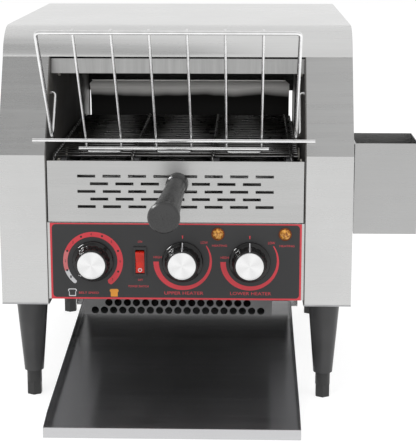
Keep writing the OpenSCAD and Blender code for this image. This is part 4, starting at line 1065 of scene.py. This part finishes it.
# Ring on the lower half of the rocker, with its front and back
RING_Z, RING_OUTER, RING_INNER = 150.5, 2.1, 1.3
RING_FRONT, RING_BACK = -1.03, -0.85


class TOASTER_OT_switch_marks(bpy.types.Operator):
    """Ring that marks the lower half of the rocker"""

    bl_idname = "toaster.switch_marks"
    bl_label = "Rocker mark"

    def execute(self, context):
        outer, inner = (circle(SWITCH_X, RING_Z, radius, 32) for radius in (RING_OUTER, RING_INNER))
        ring = print_mesh("rocker_ring", outer, inner, closed=True, front=RING_FRONT, back=RING_BACK)
        add_piece(ring, "rocker", "ink_white")
        return {"FINISHED"}


# Printed border round the overlay
OVERLAY_HALF_W, OVERLAY_LOW, OVERLAY_HIGH = 131.5, 118.5, 200.7
BORDER_SIDE, BORDER_LOW, BORDER_TOP, BORDER_BEND = 2.0, 1.9, 1.3, 4.0
# Parts of the speed scale: name, ink, (angle, width) stops and the degrees over which each end is rounded
SPEED_SCALE = (
    ("speed_scale_start", "ink_white", [(232.4, 4.0), (200, 4.3)], (4.0, 0.0)),
    ("speed_scale_middle", "ink_pink", [(200, 4.3), (158, 4.8)], (0.0, 0.0)),
    ("speed_scale_end", "ink_red", [(158, 4.8), (-56.3, 6.3)], (0.0, 5.0)),
)
# Angles of the dots and numbers on it
SPEED_DOTS = (200, 158, 115, 70, 23, -23)
SPEED_NUMBERS = (216, 180, 136, 93, 47, 0, -45)
DOT_R, NUMBER_H, NUMBER_W = 1.15, 2.6, 1.5
HEAT_SCALE = [(180, 5.8), (270, 4.5), (360, 2.4), (395, 1.0)]
# Print about the middle of a heat knob
HEAT_TICK = ((-0.75, 28.2), (0.75, 28.2), (0.35, 24.7), (-0.35, 24.7))
HEAT_WORDS = (("low", "LOW", 22.6, 20.6, 2.8, 7.2), ("high", "HIGH", -26.1, 4.6, 2.6, 8.4))
# Words: name, text, place, height and width
WORDS = (
    ("switch_on", "ON", SWITCH_X + 0.2, 181.0, 2.1, 4.4),
    ("switch_off", "OFF", SWITCH_X + 0.2, 139.6, 2.1, 5.2),
    ("switch_word", "POWER SWITCH", SWITCH_X - 1.8, 132.6, 2.2, 21.0),
    ("speed_word", "BELT SPEED", -91.9, 125.2, 2.2, 21.0),
    ("upper_word", "UPPER HEATER", UPPER_X + 1.0, 125.4, 3.4, 41.0),
    ("lower_word", "LOWER HEATER", LOWER_X + 1.0, 125.4, 3.4, 43.0),
    ("upper_lamp_word", "HEATING", 45.8, 177.2, 2.1, 15.5),
    ("lower_lamp_word", "HEATING", 116.2, 177.2, 2.1, 15.5),
)
PALE_SLICE, BROWN_SLICE = (-109.2, 125.7), (-65.1, 125.5)
SLICE_W, SLICE_H, SLICE_LINE = 9.4, 8.4, 1.0


def box_line(half_w, low, high, radius, steps=8):
    """Rounded rectangle about the panel's middle."""
    made = []
    for sx, sz, first in ((1, 1, 0), (-1, 1, 90), (-1, -1, 180), (1, -1, 270)):
        cx = sx * (half_w - radius)
        cz = high - radius if sz > 0 else low + radius
        made += arc(cx, cz, radius, first, first + 90, steps)
    return made


def scale_band(cx, cz, radius, stops, ends=(0.0, 0.0), steps=90):
    """Outer and inner line of a curved scale whose width changes along (angle, width) stops.

    Each end is rounded over that many degrees.
    """
    first, last = stops[0][0], stops[-1][0]
    outer, inner = [], []
    for i in range(steps + 1):
        a = first + (last - first) * i / steps
        for (a0, w0), (a1, w1) in zip(stops, stops[1:]):
            if min(a0, a1) - 1e-6 <= a <= max(a0, a1) + 1e-6:
                width = w0 + (w1 - w0) * (a - a0) / (a1 - a0)
        middle = radius - width / 2
        for end, near in zip(ends, (abs(a - first), abs(last - a))):
            if end and near < end:
                width *= math.sqrt(max(0.0, 1 - (1 - near / end) ** 2)) + 0.02
        ra = math.radians(a)
        for line, r in ((outer, middle + width / 2), (inner, middle - width / 2)):
            line.append((cx + r * math.cos(ra), cz + r * math.sin(ra)))
    return outer, inner


def slice_line(cx, cz, wide, high, steps=6):
    """Outline of a slice of bread: a square with a lobed top."""
    w, h = wide / 2, high / 2
    made = [(cx - 0.78 * w, cz - h), (cx + 0.78 * w, cz - h), (cx + 0.78 * w, cz + 0.1 * h)]
    made += arc(cx + 0.62 * w, cz + 0.55 * h, 0.42 * h, -50, 90, steps)
    made += arc(cx - 0.62 * w, cz + 0.55 * h, 0.42 * h, 90, 230, steps)
    made.append((cx - 0.78 * w, cz + 0.1 * h))
    return made


def on_speed_scale(angle):
    """Place on the middle of the speed scale, which grows wider over 288 degrees from its start at 232."""
    a = math.radians(angle)
    r = sizes().dial_radius / MM - 2.2 - 0.9 * (232 - angle) / 288
    return SPEED_X + r * math.cos(a), KNOB_Z + r * math.sin(a)


class TOASTER_OT_print(bpy.types.Operator):
    """Print on the control panel's overlay"""

    bl_idname = "toaster.print"
    bl_label = "Panel print"

    def execute(self, context):
        self.add_border()
        self.add_speed_scale()
        self.add_heat_scales()
        self.add_words()
        self.add_slices()
        return {"FINISHED"}

    def add_border(self):
        outer = box_line(OVERLAY_HALF_W, OVERLAY_LOW, OVERLAY_HIGH, 0.4)
        inner = box_line(
            OVERLAY_HALF_W - BORDER_SIDE, OVERLAY_LOW + BORDER_LOW, OVERLAY_HIGH - BORDER_TOP, BORDER_BEND
        )
        add_print("overlay_border", "ink_red", outer, inner, closed=True)

    def add_speed_scale(self):
        for name, ink, stops, ends in SPEED_SCALE:
            outer, inner = scale_band(SPEED_X, KNOB_Z, sizes().dial_radius / MM, stops, ends)
            add_print(name, ink, outer, inner)
        over = OVERLAY_Y - 2 * sizes().print_rise / MM
        for i, angle in enumerate(SPEED_DOTS, 1):
            add_print(f"speed_dot_{i}", "ink_dark", circle(*on_speed_scale(angle), DOT_R, 20), front=over)
        for i, angle in enumerate(SPEED_NUMBERS, 1):
            place = on_speed_scale(angle)
            add_word(f"speed_number_{i}", str(i), *place, NUMBER_H, NUMBER_W, "ink_dark", over)

    def add_heat_scales(self):
        for name, x in (("upper", UPPER_X), ("lower", LOWER_X)):
            outer, inner = scale_band(x, KNOB_Z, sizes().heat_radius / MM, HEAT_SCALE)
            add_print(f"{name}_heat_scale", "ink_red", outer, inner)
            add_print(f"{name}_heat_tick", "ink_red", [(x + dx, KNOB_Z + dz) for dx, dz in HEAT_TICK])
            for end, words, dx, dz, high, wide in HEAT_WORDS:
                add_word(f"{name}_{end}", words, x + dx, KNOB_Z + dz, high, wide)

    def add_words(self):
        for name, words, x, z, high, wide in WORDS:
            add_word(name, words, x, z, high, wide)

    def add_slices(self):
        pale = slice_line(*PALE_SLICE, SLICE_W, SLICE_H)
        within = slice_line(*PALE_SLICE, SLICE_W - 2 * SLICE_LINE, SLICE_H - 2 * SLICE_LINE)
        add_print("pale_slice", "ink_white", pale, within, closed=True)
        add_print("brown_slice", "ink_orange", slice_line(*BROWN_SLICE, SLICE_W, SLICE_H))


class TOASTER_PT_panel(bpy.types.Panel):
    """Lists the toaster's pieces, sizes and colours"""

    bl_idname = "TOASTER_PT_panel"
    bl_label = "Conveyor toaster"
    bl_space_type = "VIEW_3D"
    bl_region_type = "UI"
    bl_category = "Toaster"

    def draw(self, context):
        layout = self.layout
        for operator in OPERATORS:
            layout.operator(operator.bl_idname)
        for group in (sizes(), colours()):
            box = layout.box()
            for name in group.__annotations__:
                box.prop(group, name)


OPERATORS = (
    TOASTER_OT_stage, TOASTER_OT_sheets, TOASTER_OT_fittings, TOASTER_OT_belt, TOASTER_OT_rack,
    TOASTER_OT_knobs, TOASTER_OT_lamps, TOASTER_OT_switch_marks, TOASTER_OT_print,
    TOASTER_OT_lamp_targets,
)
CLASSES = (ToasterSizes, ToasterColours, *OPERATORS, TOASTER_PT_panel)


def register():
    for group in CLASSES:
        bpy.utils.register_class(group)
    bpy.types.Scene.toaster_sizes = bpy.props.PointerProperty(type=ToasterSizes)
    bpy.types.Scene.toaster_colours = bpy.props.PointerProperty(type=ToasterColours)


def unregister():
    del bpy.types.Scene.toaster_colours
    del bpy.types.Scene.toaster_sizes
    for group in reversed(CLASSES):
        bpy.utils.unregister_class(group)


def main():
    register()
    bpy.ops.toaster.stage()
    bpy.ops.toaster.sheets()
    bpy.ops.toaster.fittings()
    bpy.ops.toaster.belt()
    bpy.ops.toaster.rack()
    bpy.ops.toaster.knobs()
    bpy.ops.toaster.lamps()
    bpy.ops.toaster.switch_marks()
    bpy.ops.toaster.print()
    bpy.ops.toaster.lamp_targets()
    bpy.context.view_layer.update()


if __name__ == "__main__":
    main()
